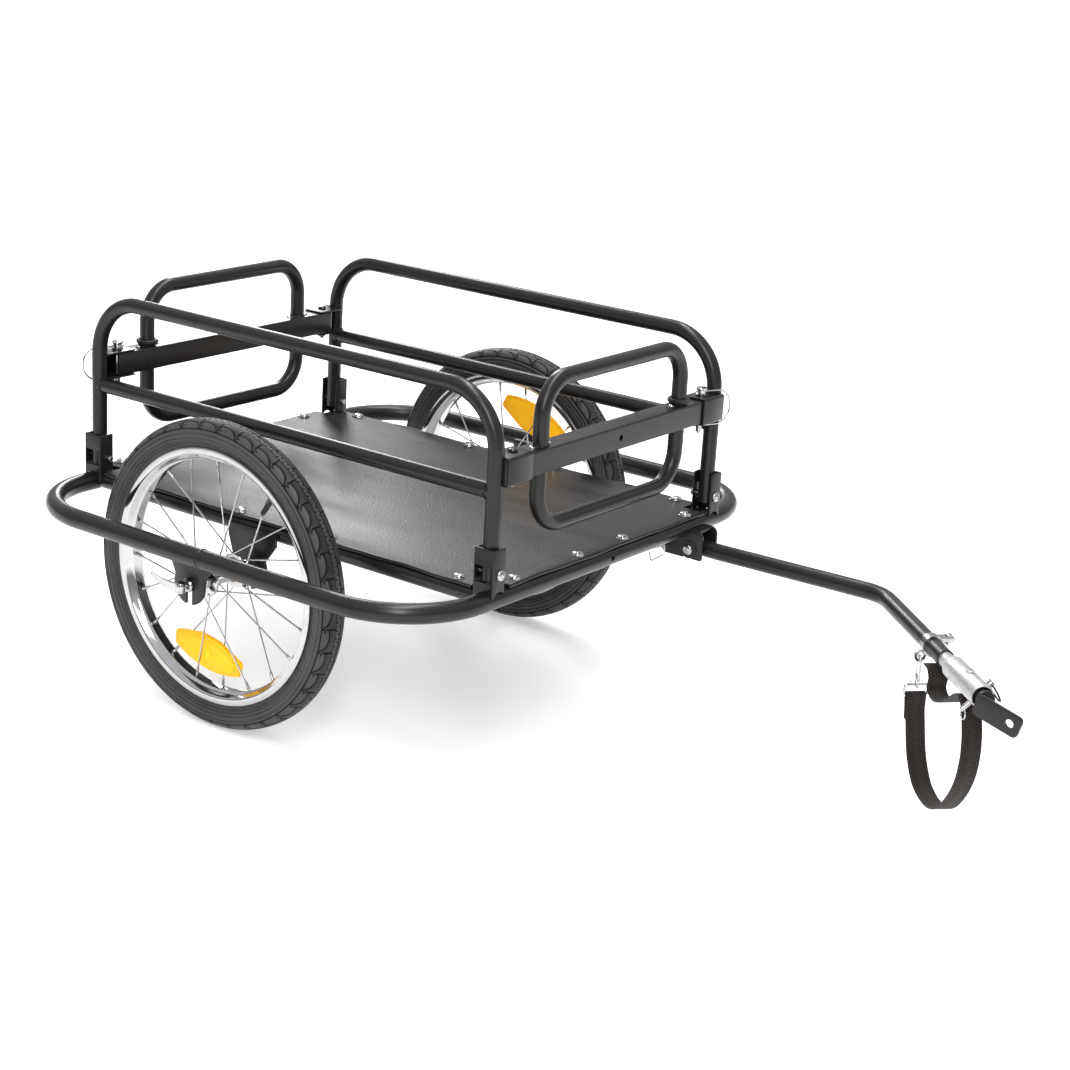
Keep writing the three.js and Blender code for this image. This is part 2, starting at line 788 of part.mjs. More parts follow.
// The direction in which a lock pin's bail reaches past the post.
function bailDirection(end) {
  return vec(ends[end] * Math.sin(bailSide), sides[lockSide[end]] * Math.cos(bailSide), 0);
}

// A lock pin: a shank, and a head that is drilled for the wire bail.
function lockPin(end) {
  const at = (z) => vec(postReach[end], sides[lockSide[end]] * lockPinOffset, z);
  const headFoot = saddleCeiling + seat;
  const head = rod(at(headFoot), at(headFoot + lockPinHeadHeight), lockPinHeadDiameter / 2);
  const tip = saddleFloor - lockPinTip;
  const point = rod(at(tip), at(tip + lockPinRadius), lockPinRadius / 2, boltSides, lockPinRadius);
  const shank = rod(at(tip + lockPinRadius), at(headFoot + weldBite), lockPinRadius);
  const reach = bailDirection(end).multiplyScalar(lockPinHeadDiameter);
  const middle = at(bailUpperLeg);
  const drilling = bore(middle.clone().sub(reach), middle.clone().add(reach), bailWire / 2 + seat);
  return cut(joined(head, shank, point), drilling);
}

// A wire bail: a D of spring wire that turns in the pin's head and closes against its tip, past the post.
function bail(end) {
  const u = bailDirection(end);
  const root = vec(postReach[end], sides[lockSide[end]] * lockPinOffset, bailUpperLeg);
  const at = (out, down) => root.clone().addScaledVector(u, out).add(vec(0, 0, -down));
  const reach = (sideOffset - lockPinOffset) * Math.cos(bailSide) + bailPastPost;
  const corners = [
    at(-lockPinHeadDiameter / 2 - bailTail, 0),
    at(reach, 0),
    at(reach, bailOpening),
    at(lockPinRadius + seat, bailOpening),
  ];
  return tube(bentRoute(corners, bailBend, wireBendSteps), bailWire / 2, wireSides);
}

// Rim: a single-walled channel with a flange on each side, its bed stepped down to the well.
function rim() {
  const seatRadius = beadSeatDiameter / 2;
  const half = rimWidth / 2;
  const flange = seatRadius + rimFlangeHeight;
  const well = seatRadius - rimWellDepth;
  const wellHalf = half * 0.42;
  const upper = [[flange, -half], [flange, -half + rimWall], [seatRadius, -half + rimWall], [well, -wellHalf]];
  const lower = [[well - rimWall, -wellHalf], [seatRadius - rimWall, -half]];
  const flip = ([radius, along]) => [radius, -along];
  const profile = [...upper, ...upper.map(flip).reverse(), ...lower.map(flip).reverse(), ...lower];
  return turned([...profile, profile[0]], vec(0, 0, 0), vec(0, 1, 0), wheelSteps);
}

// Tyre: beads inside the rim's flanges, bulging walls and a square-shouldered tread.
function tyre() {
  const seatRadius = beadSeatDiameter / 2 + seat;
  const beadHalf = rimWidth / 2 - rimWall - seat;
  const overFlange = beadSeatDiameter / 2 + rimFlangeHeight + seat;
  const half = tyreSection / 2;
  const wall = [
    [seatRadius, beadHalf],
    [overFlange, beadHalf],
    [overFlange + tyreSection * 0.14, half * 0.86],
    [overFlange + tyreSection * 0.34, half],
    [wheelRadius - tyreSection * 0.25, half * 0.95],
    [wheelRadius - tyreSection * 0.06, half * 0.62],
  ];
  const profile = [...wall, [wheelRadius, 0], ...wall.map(([radius, along]) => [radius, -along]).reverse()];
  return turned([...profile, profile[0]], vec(0, 0, 0), vec(0, 1, 0), wheelSteps);
}

// The radius of the rim's inner face, where its flats come nearest to the hub.
function rimBedRadius() {
  return (beadSeatDiameter / 2 - rimWellDepth - rimWall) * Math.cos(Math.PI / wheelSteps);
}

// The line of one spoke, from its hub flange to the rim's bed.
function spokeEnds(index) {
  const flangeSide = index % 2 === 0 ? 1 : -1;
  const leading = index % 4 < 2 ? 1 : -1;
  const rimAngle = (2 * Math.PI * (index + 1 / 2)) / spokeCount;
  const hubAngle = rimAngle - leading * spokeLead;
  const hubRadius = hubFlangeDiameter / 2 - spokeDiameter;
  const rimRadius = rimBedRadius() - seat;
  const polar = (radius, angle, y) => vec(radius * Math.cos(angle), y, radius * Math.sin(angle));
  const flangeY = flangeSide * (hubFlangeSpread / 2 - hubFlangeThickness / 2);
  return [polar(hubRadius, hubAngle, flangeY), polar(rimRadius, rimAngle, 0)];
}

// Hub and spokes: a flanged shell with its spokes laced to the rim, each ending in a nipple.
function hubAndSpokes() {
  const bore = axleDiameter / 2 + boltClearance;
  const outer = hubFlangeSpread / 2;
  const flange = hubFlangeDiameter / 2;
  const shell = hubShellDiameter / 2;
  const nose = hubNoseDiameter / 2;
  const right = [
    [shell, outer - hubFlangeThickness * 2],
    [flange, outer - hubFlangeThickness],
    [flange, outer],
    [nose, outer],
    [nose, outer + hubNoseLength],
    [bore, outer + hubNoseLength],
  ];
  const profile = [...right.map(([radius, along]) => [radius, -along]).reverse(), ...right];
  const body = turned([...profile, profile[0]], vec(0, 0, 0), vec(0, 1, 0), hubSteps);
  const spokes = Array.from({ length: spokeCount }, (_, index) => {
    const [from, to] = spokeEnds(index);
    return rod(from, to, spokeDiameter / 2, spokeSides);
  });
  return joined(body, ...spokes);
}

// A reflector: an arc-backed lens between the two layers of spokes, grooved where they pass.
function reflector() {
  const polar = (radius, angle) => new THREE.Vector2(radius * Math.cos(angle), radius * Math.sin(angle));
  const half = reflectorSpan / 2;
  const endRadius = reflectorOuterRadius - reflectorEndWidth;
  const outline = new THREE.Shape();
  outline.absarc(0, 0, reflectorOuterRadius, -half, half, false);
  outline.lineTo(...polar(endRadius, half).toArray());
  outline.lineTo(...polar(reflectorInnerRadius, reflectorCrown / 2).toArray());
  outline.lineTo(...polar(reflectorInnerRadius, -reflectorCrown / 2).toArray());
  outline.lineTo(...polar(endRadius, -half).toArray());
  const lens = uprightPlate(outline, -reflectorThickness / 2, reflectorThickness / 2);
  const passing = spokeDiameter / 2 + seat;
  const grooves = Array.from({ length: spokeCount }, (_, index) => {
    const [from, to] = spokeEnds(index);
    return rod(from, to, passing, wireSides);
  });
  return cut(lens, ...grooves);
}

// A valve with its cap, standing out of the rim's bed towards the hub.
function valve() {
  const out = vec(-1, 0, 0);
  const profile = [
    [0, 0],
    [valveDiameter / 2, 0],
    [valveDiameter / 2, valveLength * 0.45],
    [valveDiameter * 0.62, valveLength * 0.48],
    [valveDiameter * 0.55, valveLength * 0.95],
    [valveDiameter * 0.3, valveLength],
    [0, valveLength],
  ];
  return turned(profile, vec(rimBedRadius() - seat, 0, 0), out, boltSides);
}

// The fixed axle of a wheel: shaft, locknuts, the quick release's skewer with its cap and its inner nut.
// Outboard is +Y in the wheel's own frame.
function axle(outward) {
  const at = (y) => vec(0, outward * y, 0);
  const shaft = axleDiameter / 2;
  const locknutFrom = hubFlangeSpread / 2 + hubNoseLength + boltClearance;
  const faceOut = hubWidth / 2 + seat + dropoutSheet + seat;
  const bodies = [
    rod(at(-faceOut - weldBite), at(faceOut + weldBite), shaft, hubSteps),
    rod(at(locknutFrom), at(hubWidth / 2), locknutDiameter / 2, hubSteps),
    rod(at(-locknutFrom), at(-hubWidth / 2), locknutDiameter / 2, hubSteps),
    rod(at(faceOut), at(faceOut + releaseCapLength), releaseCapDiameter / 2, hubSteps),
    rod(at(-faceOut - releaseNutLength), at(-faceOut), releaseNutDiameter * 0.32, hubSteps, releaseNutDiameter / 2),
    rod(at(faceOut), at(camLine() - camDiameter / 2 - seat), skewerDiameter / 2),
  ];
  return joined(...bodies);
}

// How far out from the wheel's middle the lever's cam lies.
function camLine() {
  return hubWidth / 2 + seat + dropoutSheet + seat + releaseCapLength + seat + camDiameter / 2 + overrun;
}

// A quick-release lever: a cam barrel and a blade that sweeps back and out, with an upturned tip.
function releaseLever(outward) {
  const cam = camDiameter / 2;
  const half = leverThickness / 2;
  const outline = new THREE.Shape();
  outline.moveTo(0, cam);
  outline.lineTo(0, 0);
  outline.lineTo(-cam, half);
  outline.quadraticCurveTo(-leverLength * 0.5, leverSweep * 0.1, -leverLength, leverSweep);
  outline.lineTo(-leverLength, leverSweep + half);
  outline.quadraticCurveTo(-leverLength * 0.5, leverSweep * 0.3 + leverThickness, 0, cam);
  const blade = new THREE.ExtrudeGeometry(outline, { depth: leverWidth, curveSegments: bendSteps, bevelEnabled: false });
  blade.translate(0, 0, -leverWidth / 2);
  const place = blade.attributes.position;
  for (let i = 0; i < place.count; i++) {
    const share = Math.max(0, -place.getX(i) - cam) / leverLength;
    place.setZ(i, place.getZ(i) * (1 - share / 3) + leverTipRise * share * share);
  }
  blade.scale(1, outward, 1).translate(0, outward * camLine(), 0);
  const barrel = rod(
    vec(0, outward * camLine(), -camHeight / 2),
    vec(0, outward * camLine(), camHeight / 2),
    cam,
    tubeSides,
  );
  return joined(solid(blade), barrel);
}

// The tow bracket: two cheeks that straddle the bar under the front tube, tied by a web in front of it.
// The front bolt's holes are open below, so that the bar can swing down about the rear pin.
function towBracket() {
  const outline = new THREE.Shape();
  const ringBack = frontReach - ringRadius;
  outline.moveTo(towBracketFront, towBracketTop);
  outline.lineTo(towBracketFront, towBracketBottom);
  outline.lineTo(towBracketTail + towBracketTailLength, towBracketBottom);
  outline.lineTo(towBracketTail, towBracketBottom + towBracketTailRise);
  outline.lineTo(ringBack, ringHeight);
  outline.lineTo(frontReach + ringRadius, towBracketTop);
  const inner = towBracketInner / 2;
  const outer = inner + towBracketSheet;
  const cheeks = [1, -1].map((s) => uprightPlate(outline, towOffset + s * inner, towOffset + s * outer));
  const web = block(
    vec(frontReach, towOffset - inner - weldBite, towBracketTop - towBracketSheet),
    vec(towBracketFront, towOffset + inner + weldBite, towBracketTop),
  );
  const across = (x, z, radius) => bore(vec(x, towOffset - ringTube, z), vec(x, towOffset + ringTube, z), radius);
  const boltRadius = pivotBoltDiameter / 2 + boltClearance;
  const slot = block(
    vec(towBoltReach - boltRadius - towSlotDrift, towOffset - ringTube, towBracketBottom - towSlotDrift),
    vec(towBoltReach + boltRadius, towOffset + ringTube, towHeight),
  );
  return cut(
    joined(...cheeks, web),
    crossTubeSpace(frontReach),
    across(towPivotReach, towHeight, towPinDiameter / 2 + seat),
    across(towBoltReach, towHeight, boltRadius),
    slot,
  );
}

// The clevis pin on which the tow bar swings down, drilled at its near end for the wire clip.
function towPin() {
  const outer = towBracketInner / 2 + towBracketSheet + seat;
  const at = (y) => vec(towPivotReach, towOffset + y, towHeight);
  const radius = towPinDiameter / 2;
  const head = rod(at(outer), at(outer + towPinHeadHeight), towPinHeadDiameter / 2);
  const shank = rod(at(-outer - towPinTip), at(outer + weldBite), radius);
  const hole = at(-outer - towPinTip / 2);
  const up = vec(0, 0, towPinDiameter);
  const bush = (s) => rod(at(s * (towRadius + seat)), at(s * (towBracketInner / 2 - seat)), pivotSpacerDiameter / 2);
  const drilling = bore(hole.clone().sub(up), hole.clone().add(up), clipWire / 2 + clipClearance);
  return cut(joined(shank, head, bush(1), bush(-1)), drilling);
}

// The wire clip: a hairpin through the clevis pin, its loop trailing behind and below.
function towPinClip() {
  const y = towOffset - towBracketInner / 2 - towBracketSheet - seat - towPinTip / 2;
  const at = (x, z) => vec(towPivotReach + x, y, towHeight + z);
  const corners = [
    at(0, towPinDiameter),
    at(0, -towPinDiameter - clipHalfWidth),
    at(-clipLength, -towPinDiameter - clipLength),
    at(-clipLength - clipHalfWidth, -towPinDiameter - clipHalfWidth),
    at(-towPinDiameter, -clipHalfWidth),
  ];
  return tube(bentRoute(corners, clipHalfWidth / 2, wireBendSteps), clipWire / 2, wireSides);
}

function towBolt() {
  const middle = vec(towBoltReach, towOffset, towHeight);
  return throughBolt(
    middle,
    vec(0, -1, 0),
    pivotBoltDiameter / 2,
    towBracketInner / 2 + towBracketSheet,
    towBracketSheet,
    towRadius,
    pivotSpacerDiameter / 2,
  );
}

// The bend of the tow bar is the origin of the frame in which everything on its last run is placed:
// X runs along the bar, Y to its left.
const towFore = new THREE.Group();
towFore.position.set(towBendReach, towOffset + towToeOut, towHeight);
towFore.rotation.z = -towYaw;
trailer.add(towFore);

// The tow bar: one tube, straight through the bracket, a little outward, and then across to the middle.
function towBar() {
  const foreDirection = vec(Math.cos(towYaw), -Math.sin(towYaw), 0);
  const rear = vec(towRearEnd, towOffset, towHeight);
  const vertex = towFore.position.clone();
  const fore = vertex.clone().addScaledVector(foreDirection, towForeLength);
  const straight = vec(towStraight, towOffset, towHeight);
  const whole = tube(bentRoute([rear, straight, vertex, fore], towBend), towRadius);
  const across = (x) =>
    bore(vec(x, towOffset - towTube, towHeight), vec(x, towOffset + towTube, towHeight), towPinDiameter / 2 + seat);
  const rearBore = bore(
    vec(towRearEnd - overrun, towOffset, towHeight),
    vec(towRearEnd + towRearBoreDepth, towOffset, towHeight),
    towTubeBore / 2,
    tubeSides,
  );
  const foreBore = bore(
    fore.clone().addScaledVector(foreDirection, -towForeBoreDepth),
    fore.clone().addScaledVector(foreDirection, overrun),
    towTubeBore / 2,
    tubeSides,
  );
  return cut(whole, rearBore, foreBore, across(towPivotReach), across(towBoltReach));
}

// The strap clamp: a band with a bolted ear above and a drilled lug below, from which the hook hangs.
function strapClamp() {
  const outer = towRadius + seat + clampWall;
  const at = (x, y, z) => vec(clampStation + x, y, z);
  const half = clampWidth / 2;
  const band = rod(at(-half, 0, 0), at(half, 0, 0), outer, tubeSides);
  const ear = block(at(-half, towRadius / 2, towRadius / 2), at(half, outer + clampEarReach, towRadius / 2 + clampEarThickness));
  const earHole = rod(
    at(0, outer + clampEarReach / 2, 0),
    at(0, outer + clampEarReach / 2, towTube),
    clampEarHole / 2,
  );
  const down = lugDirection();
  const lugEnd = at(0, 0, 0).addScaledVector(down, outer + clampLugReach / 2);
  const thick = vec(clampLugThickness / 2, 0, 0);
  const lug = rod(lugEnd.clone().sub(thick), lugEnd.clone().add(thick), clampLugRadius, hubSteps);
  const lugHole = bore(lugHoleCentre().sub(thick).sub(thick), lugHoleCentre().add(thick).add(thick), clampLugHole / 2);
  const barSpace = bore(at(-clampWidth, 0, 0), at(clampWidth, 0, 0), towRadius + seat, tubeSides);
  return cut(joined(band, ear, lug), barSpace, earHole, lugHole);
}

function lugDirection() {
  return vec(0, -1, -1).normalize();
}

function lugHoleCentre() {
  const reach = towRadius + seat + clampWall + clampLugReach / 2;
  return vec(clampStation, 0, 0).addScaledVector(lugDirection(), reach);
}

// The coupling sleeve: its neck sits in the bar's end, and its bored mouth holds the rubber joint.
function couplingSleeve() {
  const neck = towTubeBore / 2 - sleeveNeckClearance;
  const body = sleeveDiameter / 2;
  const bore = sleeveBoreDiameter / 2;
  const profile = [
    [0, towForeLength - sleeveNeckDepth],
    [neck, towForeLength - sleeveNeckDepth],
    [neck, sleeveShoulder],
    [body, sleeveShoulder + sleeveShoulderLength],
    [body, sleeveMouth - sleeveMouthChamfer],
    [bore + (body - bore) / 2, sleeveMouth],
    [bore, sleeveMouth],
    [bore, sleeveMouth - sleeveBoreDepth],
    [0, sleeveMouth - sleeveBoreDepth],
  ];
  const sleeve = turned(profile, vec(0, 0, 0), vec(1, 0, 0), hubSteps);
  const bossFoot = vec(sleeveBossStation, 0, 0);
  const bossTop = vec(sleeveBossStation, 0, body + sleeveBossHeight);
  const boss = rod(bossFoot.clone().setZ(bore), bossTop, sleeveBossDiameter / 2);
  const bossHole = rod(bossFoot.clone().setZ(body - sleeveBossHeight), bossTop.clone().setZ(sleeveDiameter), sleeveBossHole / 2);
  return cut(joined(sleeve, boss), bossHole, hitchPinSpace(hitchPinDiameter / 2 + seat, 0));
}

// The direction from the middle of the hitch pin to its head, square to the bar.
function hitchPinLine() {
  return vec(0, Math.cos(hitchPinTilt), Math.sin(hitchPinTilt));
}

// The space round the hitch pin when the joint is turned by an angle against it.
function hitchPinSpace(radius, angle) {
  const line = hitchPinLine().applyAxisAngle(vec(0, 0, 1), angle).multiplyScalar(sleeveDiameter);
  const centre = vec(jointStation, 0, 0);
  return bore(centre.clone().sub(line), centre.clone().add(line), radius);
}

// The rubber joint: a ball in the sleeve, slotted for the hitch pin, with a necked flange at the mouth.
function flexJoint() {
  const ball = jointBall / 2;
  const centre = vec(jointStation, 0, 0);
  const sphere = new THREE.SphereGeometry(ball, hubSteps, boltSides);
  const ballBody = solid(sphere.rotateZ(-Math.PI / 2).translate(centre.x, 0, 0));
  const neckEnd = vec(jointFlangeStation + weldBite, 0, 0);
  const neck = rod(centre, neckEnd, jointNeck / 2, hubSteps);
  const flangeEnd = vec(jointFlangeStation + jointFlangeThickness, 0, 0);
  const flange = rod(vec(jointFlangeStation, 0, 0), flangeEnd, jointFlange / 2, hubSteps);
  const socketStart = vec(jointFlangeStation - studDepth, 0, 0);
  const studSocket = bore(socketStart, vec(sleeveMouth + sleeveDiameter, 0, 0), studDiameter / 2 + studClearance, hubSteps);
  const swings = [-1, -1 / 2, 0, 1 / 2, 1].map((share) =>
    hitchPinSpace(hitchPinDiameter / 2 + boltClearance, share * (jointSwing + mergeDistance)),
  );
  return cut(joined(ballBody, neck, flange), studSocket, ...swings);
}

// The tongue: a plate that goes on the bicycle's axle, upright and parallel to the trailer's middle line,
// with a stud that is moulded into the rubber joint.
function tonguePlate() {
  const half = tongueWidth / 2;
  const rear = -tongueBehindStud;
  const front = tongueLength - tongueBehindStud;
  const outline = new THREE.Shape();
  outline.moveTo(rear, -half + tongueCorner);
  outline.lineTo(rear, half - tongueCorner);
  outline.quadraticCurveTo(rear, half, rear + tongueCorner, half);
  outline.lineTo(front - tongueCorner, half);
  outline.quadraticCurveTo(front, half, front, half - tongueCorner);
  outline.lineTo(front, -half + tongueCorner);
  outline.quadraticCurveTo(front, -half, front - tongueCorner, -half);
  outline.lineTo(rear + tongueCorner, -half);
  outline.quadraticCurveTo(rear, -half, rear, -half + tongueCorner);
  const geometry = new THREE.ExtrudeGeometry(outline, {
    depth: tongueThickness,
    curveSegments: wireBendSteps,
    bevelEnabled: false,
  });
  geometry.rotateX(Math.PI / 2).translate(0, tongueThickness / 2, 0).rotateY(tongueDroop);
  geometry.rotateZ(towYaw).translate(studStation(), 0, -tongueDrop);
  const stud = rod(
    vec(jointFlangeStation - studDepth + studClearance, 0, 0),
    vec(studStation(), 0, 0),
    studDiameter / 2,
    hubSteps,
  );
  const holeCentre = vec(front - tongueHoleFromEnd, 0, 0);
  const across = vec(0, tongueWidth, 0);
  const place = (point) =>
    point
      .applyAxisAngle(vec(0, 1, 0), tongueDroop)
      .applyAxisAngle(vec(0, 0, 1), towYaw)
      .add(vec(studStation(), 0, -tongueDrop));
  const hole = rod(place(holeCentre.clone().sub(across)), place(holeCentre.clone().add(across)), tongueHole / 2, hubSteps);
  return cut(joined(solid(geometry), stud), hole);
}

// Where the bar's line meets the tongue's middle plane.
function studStation() {
  return (towOffset + towToeOut - tongueOffset) / Math.sin(towYaw);
}

// The hitch pin through the sleeve and the ball, drilled at both ends for its ring and its tether.
function hitchPin() {
  const line = hitchPinLine();
  const at = (distance) => vec(jointStation, 0, 0).addScaledVector(line, distance);
  const face = sleeveDiameter / 2 + seat;
  const shank = rod(at(-hitchPinTip), at(face + weldBite), hitchPinDiameter / 2);
  const head = rod(at(face), at(hitchPinHead), hitchPinHeadDiameter / 2);
  const along = vec(hitchPinHeadDiameter, 0, 0);
  const drill = (distance, ring, through) => {
    const middle = at(distance);
    const rise = ring.radius - Math.sqrt(ring.radius ** 2 - through ** 2);
    return bore(middle.clone().sub(along), middle.clone().add(along), ring.wire / 2 + rise + boltClearance);
  };
  return cut(
    joined(shank, head),
    drill(ringHolePlace(), hitchRing, hitchPinDiameter / 2),
    drill(tetherHolePlace(), tether, hitchPinHeadDiameter / 2),
  );
}

function ringHolePlace() {
  return -hitchPinTip + hitchPinDiameter / 2 + hitchRing.wire;
}

function tetherHolePlace() {
  return (sleeveDiameter / 2 + seat + hitchPinHead) / 2;
}

// A ring that hangs in a drilling of the hitch pin, leaning out from the upright by an angle.
function ringInPin(place, ring) {
  const hole = vec(jointStation, 0, 0).addScaledVector(hitchPinLine(), place);
  const down = vec(0, Math.sin(ring.lean), -Math.cos(ring.lean));
  const axis = vec(0, Math.cos(ring.lean), Math.sin(ring.lean));
  return wireRing(hole.addScaledVector(down, ring.radius), axis, ring.radius, ring.wire / 2);
}

// The strap's route in the frame of the bar's last run: round the buckle's lower bar, down in a long
// loop, up behind the coupling, and forward again under the bar to its free end.
const strapRoute = [
  vec(162.4, -6, 121),
  vec(160, -6, 134),
  vec(156.3, -6, 149),
  vec(157.3, -6, 153.1),
  vec(160, -6, 154.4),
  vec(162.7, -6, 153.1),
  vec(163.7, -6, 149),
  vec(163.9, -6, 134),
  vec(166.8, -5, 117),
  vec(178, -3, 78),
  vec(200, -1, 51),
  vec(235, 0, 43),
  vec(268, 0, 51),
  vec(300, 0, 79),
  vec(321, 0, 112),
  vec(328, 0, 145),
  vec(323, 0, 176),
  vec(308, 0, 203),
  vec(294, 0, 205.5),
  vec(276, 0, 195),
  vec(250, 0, 178),
  vec(225, 0, 171),
  vec(207, 0, 178),
  vec(209, 0, 192),
  vec(202, 0, 200),
  vec(188, 0, 201.5),
];

function safetyStrap() {
  const along = new THREE.CatmullRomCurve3(strapRoute, false, "centripetal");
  const count = (strapRoute.length - 1) * strapStepsPerPoint;
  const points = along.getPoints(count).map((point) => point.setZ(point.z - towHeight));
  const half = strapWidth / 2;
  const thin = strapThickness / 2;
  const corners = [[half, -thin], [half, thin], [-half, thin], [-half, -thin]];
  return swept(new THREE.Shape(corners.map(([x, y]) => new THREE.Vector2(x, y))), points);
}

// The buckle: a rectangular link, square to the bar's run.
function strapBuckle() {
  const outer = block(
    vec(buckleStation - buckleBar / 2, buckleSide - buckleWidth / 2, buckleLevel - towHeight - buckleHeight / 2),
    vec(buckleStation + buckleBar / 2, buckleSide + buckleWidth / 2, buckleLevel - towHeight + buckleHeight / 2),
  );
  const innerHalf = buckleWidth / 2 - buckleBar;
  const inner = block(
    vec(buckleStation - buckleBar, buckleSide - innerHalf, buckleLevel - towHeight - buckleHeight / 2 + buckleBar),
    vec(buckleStation + buckleBar, buckleSide + innerHalf, buckleLevel - towHeight + buckleHeight / 2 - buckleBar),
  );
  return cut(outer, inner);
}

// The snap hook's own frame: its Z runs from the swivel's eye, round the buckle's upper bar, to the clamp's lug.
const hookFoot = vec(buckleStation, buckleSide, buckleLevel + buckleHeight / 2 - buckleBar / 2 - towHeight);
const hookTop = lugHoleCentre().add(vec(0, 0, -clampLugHole / 2 + hookWire / 2 + hookPlay));
const hookLength = hookTop.distanceTo(hookFoot);
const hookFrame = new THREE.Group();
hookFrame.position.copy(hookFoot);
hookFrame.quaternion.setFromUnitVectors(vec(0, 0, 1), hookTop.clone().sub(hookFoot).normalize());
towFore.add(hookFrame);
const hookNeckTop = hookEyeRadius + hookNeckLength;

function snapHook() {
  const eye = wireRing(vec(0, 0, 0), vec(0, 1, 0), hookEyeRadius, hookEyeWire / 2, wireSides, 12);
  const neck = rod(vec(0, 0, hookEyeRadius), vec(0, 0, hookNeckTop), hookNeckDiameter / 2);
  const shoulder = rod(vec(-hookHalfWidth, 0, hookNeckTop), vec(hookHalfWidth, 0, hookNeckTop), hookWire / 2);
  const bow = tube(
    bentRoute(
      [
        vec(hookHalfWidth, 0, hookNeckTop),
        vec(hookHalfWidth, 0, hookLength),
        vec(-hookHalfWidth, 0, hookLength),
        vec(-hookHalfWidth, 0, hookLength - hookNose),
      ],
      hookHalfWidth * 0.9,
      wireBendSteps,
    ),
    hookWire / 2,
    boltSides,
  );
  return joined(eye, neck, shoulder, bow);
}

function hookGate() {
  const foot = vec(-hookHalfWidth, 0, hookNeckTop + hookWire / 2 + seat);
  const tip = vec(-hookHalfWidth, 0, hookLength - hookNose - seat);
  return rod(foot, tip, hookGateWire / 2);
}

// Scene
place("frame_ring", finishes.blackPaint, frameRing());
place("deck_board", finishes.deckBoard, deckBoard());
for (const [name, side] of Object.entries(sides)) {
  place(`deck_rail_${name}`, finishes.blackPaint, deckRail(side));
  place(`inner_dropout_${name}`, finishes.blackPaint, innerDropout(side));
  place(`outer_dropout_${name}`, finishes.blackPaint, outerDropout(side));
  place(`hoop_${name}`, finishes.blackPaint, hoop(side));
}
for (const end of Object.keys(ends)) {
  place(`gate_${end}`, finishes.blackPaint, gate(end));
  place(`gate_bolt_${end}`, finishes.zinc, gateBolt(end));
  place(`lock_pin_${end}`, finishes.zinc, lockPin(end));
  place(`lock_bail_${end}`, finishes.chrome, bail(end));
  for (const side of Object.keys(sides)) {
    place(`socket_${end}_${side}`, finishes.blackPaint, socket(end, sides[side]));
    place(`pivot_bolt_${end}_${side}`, finishes.zinc, pivotBolt(end, sides[side]));
  }
}

// Each wheel has a frame at the middle of its axle. What turns is turned within it to its place in the photograph.
const reflectorAngles = { right: THREE.MathUtils.degToRad(96), left: THREE.MathUtils.degToRad(-74) };
const valveAngles = { right: THREE.MathUtils.degToRad(-54), left: THREE.MathUtils.degToRad(108) };
for (const [name, side] of Object.entries(sides)) {
  const wheel = new THREE.Group();
  wheel.position.set(0, side * wheelOffset, wheelRadius);
  trailer.add(wheel);
  place(`tyre_${name}`, finishes.tyreRubber, tyre(), wheel);
  place(`rim_${name}`, finishes.chrome, rim(), wheel);
  place(`axle_${name}`, finishes.zinc, axle(side), wheel);
  place(`release_lever_${name}`, finishes.chrome, releaseLever(side), wheel);
  const laced = new THREE.Group();
  laced.rotation.y = reflectorAngles[name];
  wheel.add(laced);
  place(`hub_spokes_${name}`, finishes.chrome, hubAndSpokes(), laced);
  place(`reflector_${name}`, finishes.orangeLens, reflector(), laced);
  const valveMesh = place(`valve_${name}`, finishes.blackRubber, valve(), wheel);
  valveMesh.rotation.y = valveAngles[name];
}

place("tow_bracket", finishes.blackPaint, towBracket());
place("tow_pin", finishes.zinc, towPin());
place("tow_pin_clip", finishes.chrome, towPinClip());
place("tow_bolt", finishes.zinc, towBolt());
place("tow_bar", finishes.blackPaint, towBar());
place("strap_clamp", finishes.zinc, strapClamp(), towFore);
place("coupling_sleeve", finishes.silver, couplingSleeve(), towFore);
place("flex_joint", finishes.blackRubber, flexJoint(), towFore);
place("tongue_plate", finishes.blackPaint, tonguePlate(), towFore);
place("hitch_pin", finishes.zinc, hitchPin(), towFore);
place("hitch_pin_ring", finishes.chrome, ringInPin(ringHolePlace(), hitchRing), towFore);
place("hitch_tether", finishes.blackRubber, ringInPin(tetherHolePlace(), tether), towFore);
place("safety_strap", finishes.webbing, safetyStrap(), towFore);
place("strap_buckle", finishes.chrome, strapBuckle(), towFore);
place("snap_hook", finishes.chrome, snapHook(), hookFrame);
place("hook_gate", finishes.chrome, hookGate(), hookFrame);

// The origin is on the ground under the middle of the trailer's length.
const extent = new THREE.Box3().setFromObject(trailer);
trailer.position.x = -(extent.min.x + extent.max.x) / 2;

export default trailer;
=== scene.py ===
"""The looks of a bicycle's cargo trailer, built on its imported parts.

Lengths in the classes are millimetres in the trailer's own frame: X forward, Y to its left, Z up, with
the wheel axle at X = 0 and the ground at Z = 0. TRAILER turns that frame into the row's metres.
"""

import json
import logging
import math
from collections.abc import Iterable, Sequence
from dataclasses import dataclass, field
from enum import Enum
from functools import cached_property

import bmesh
import bpy
from mathutils import Matrix, Vector

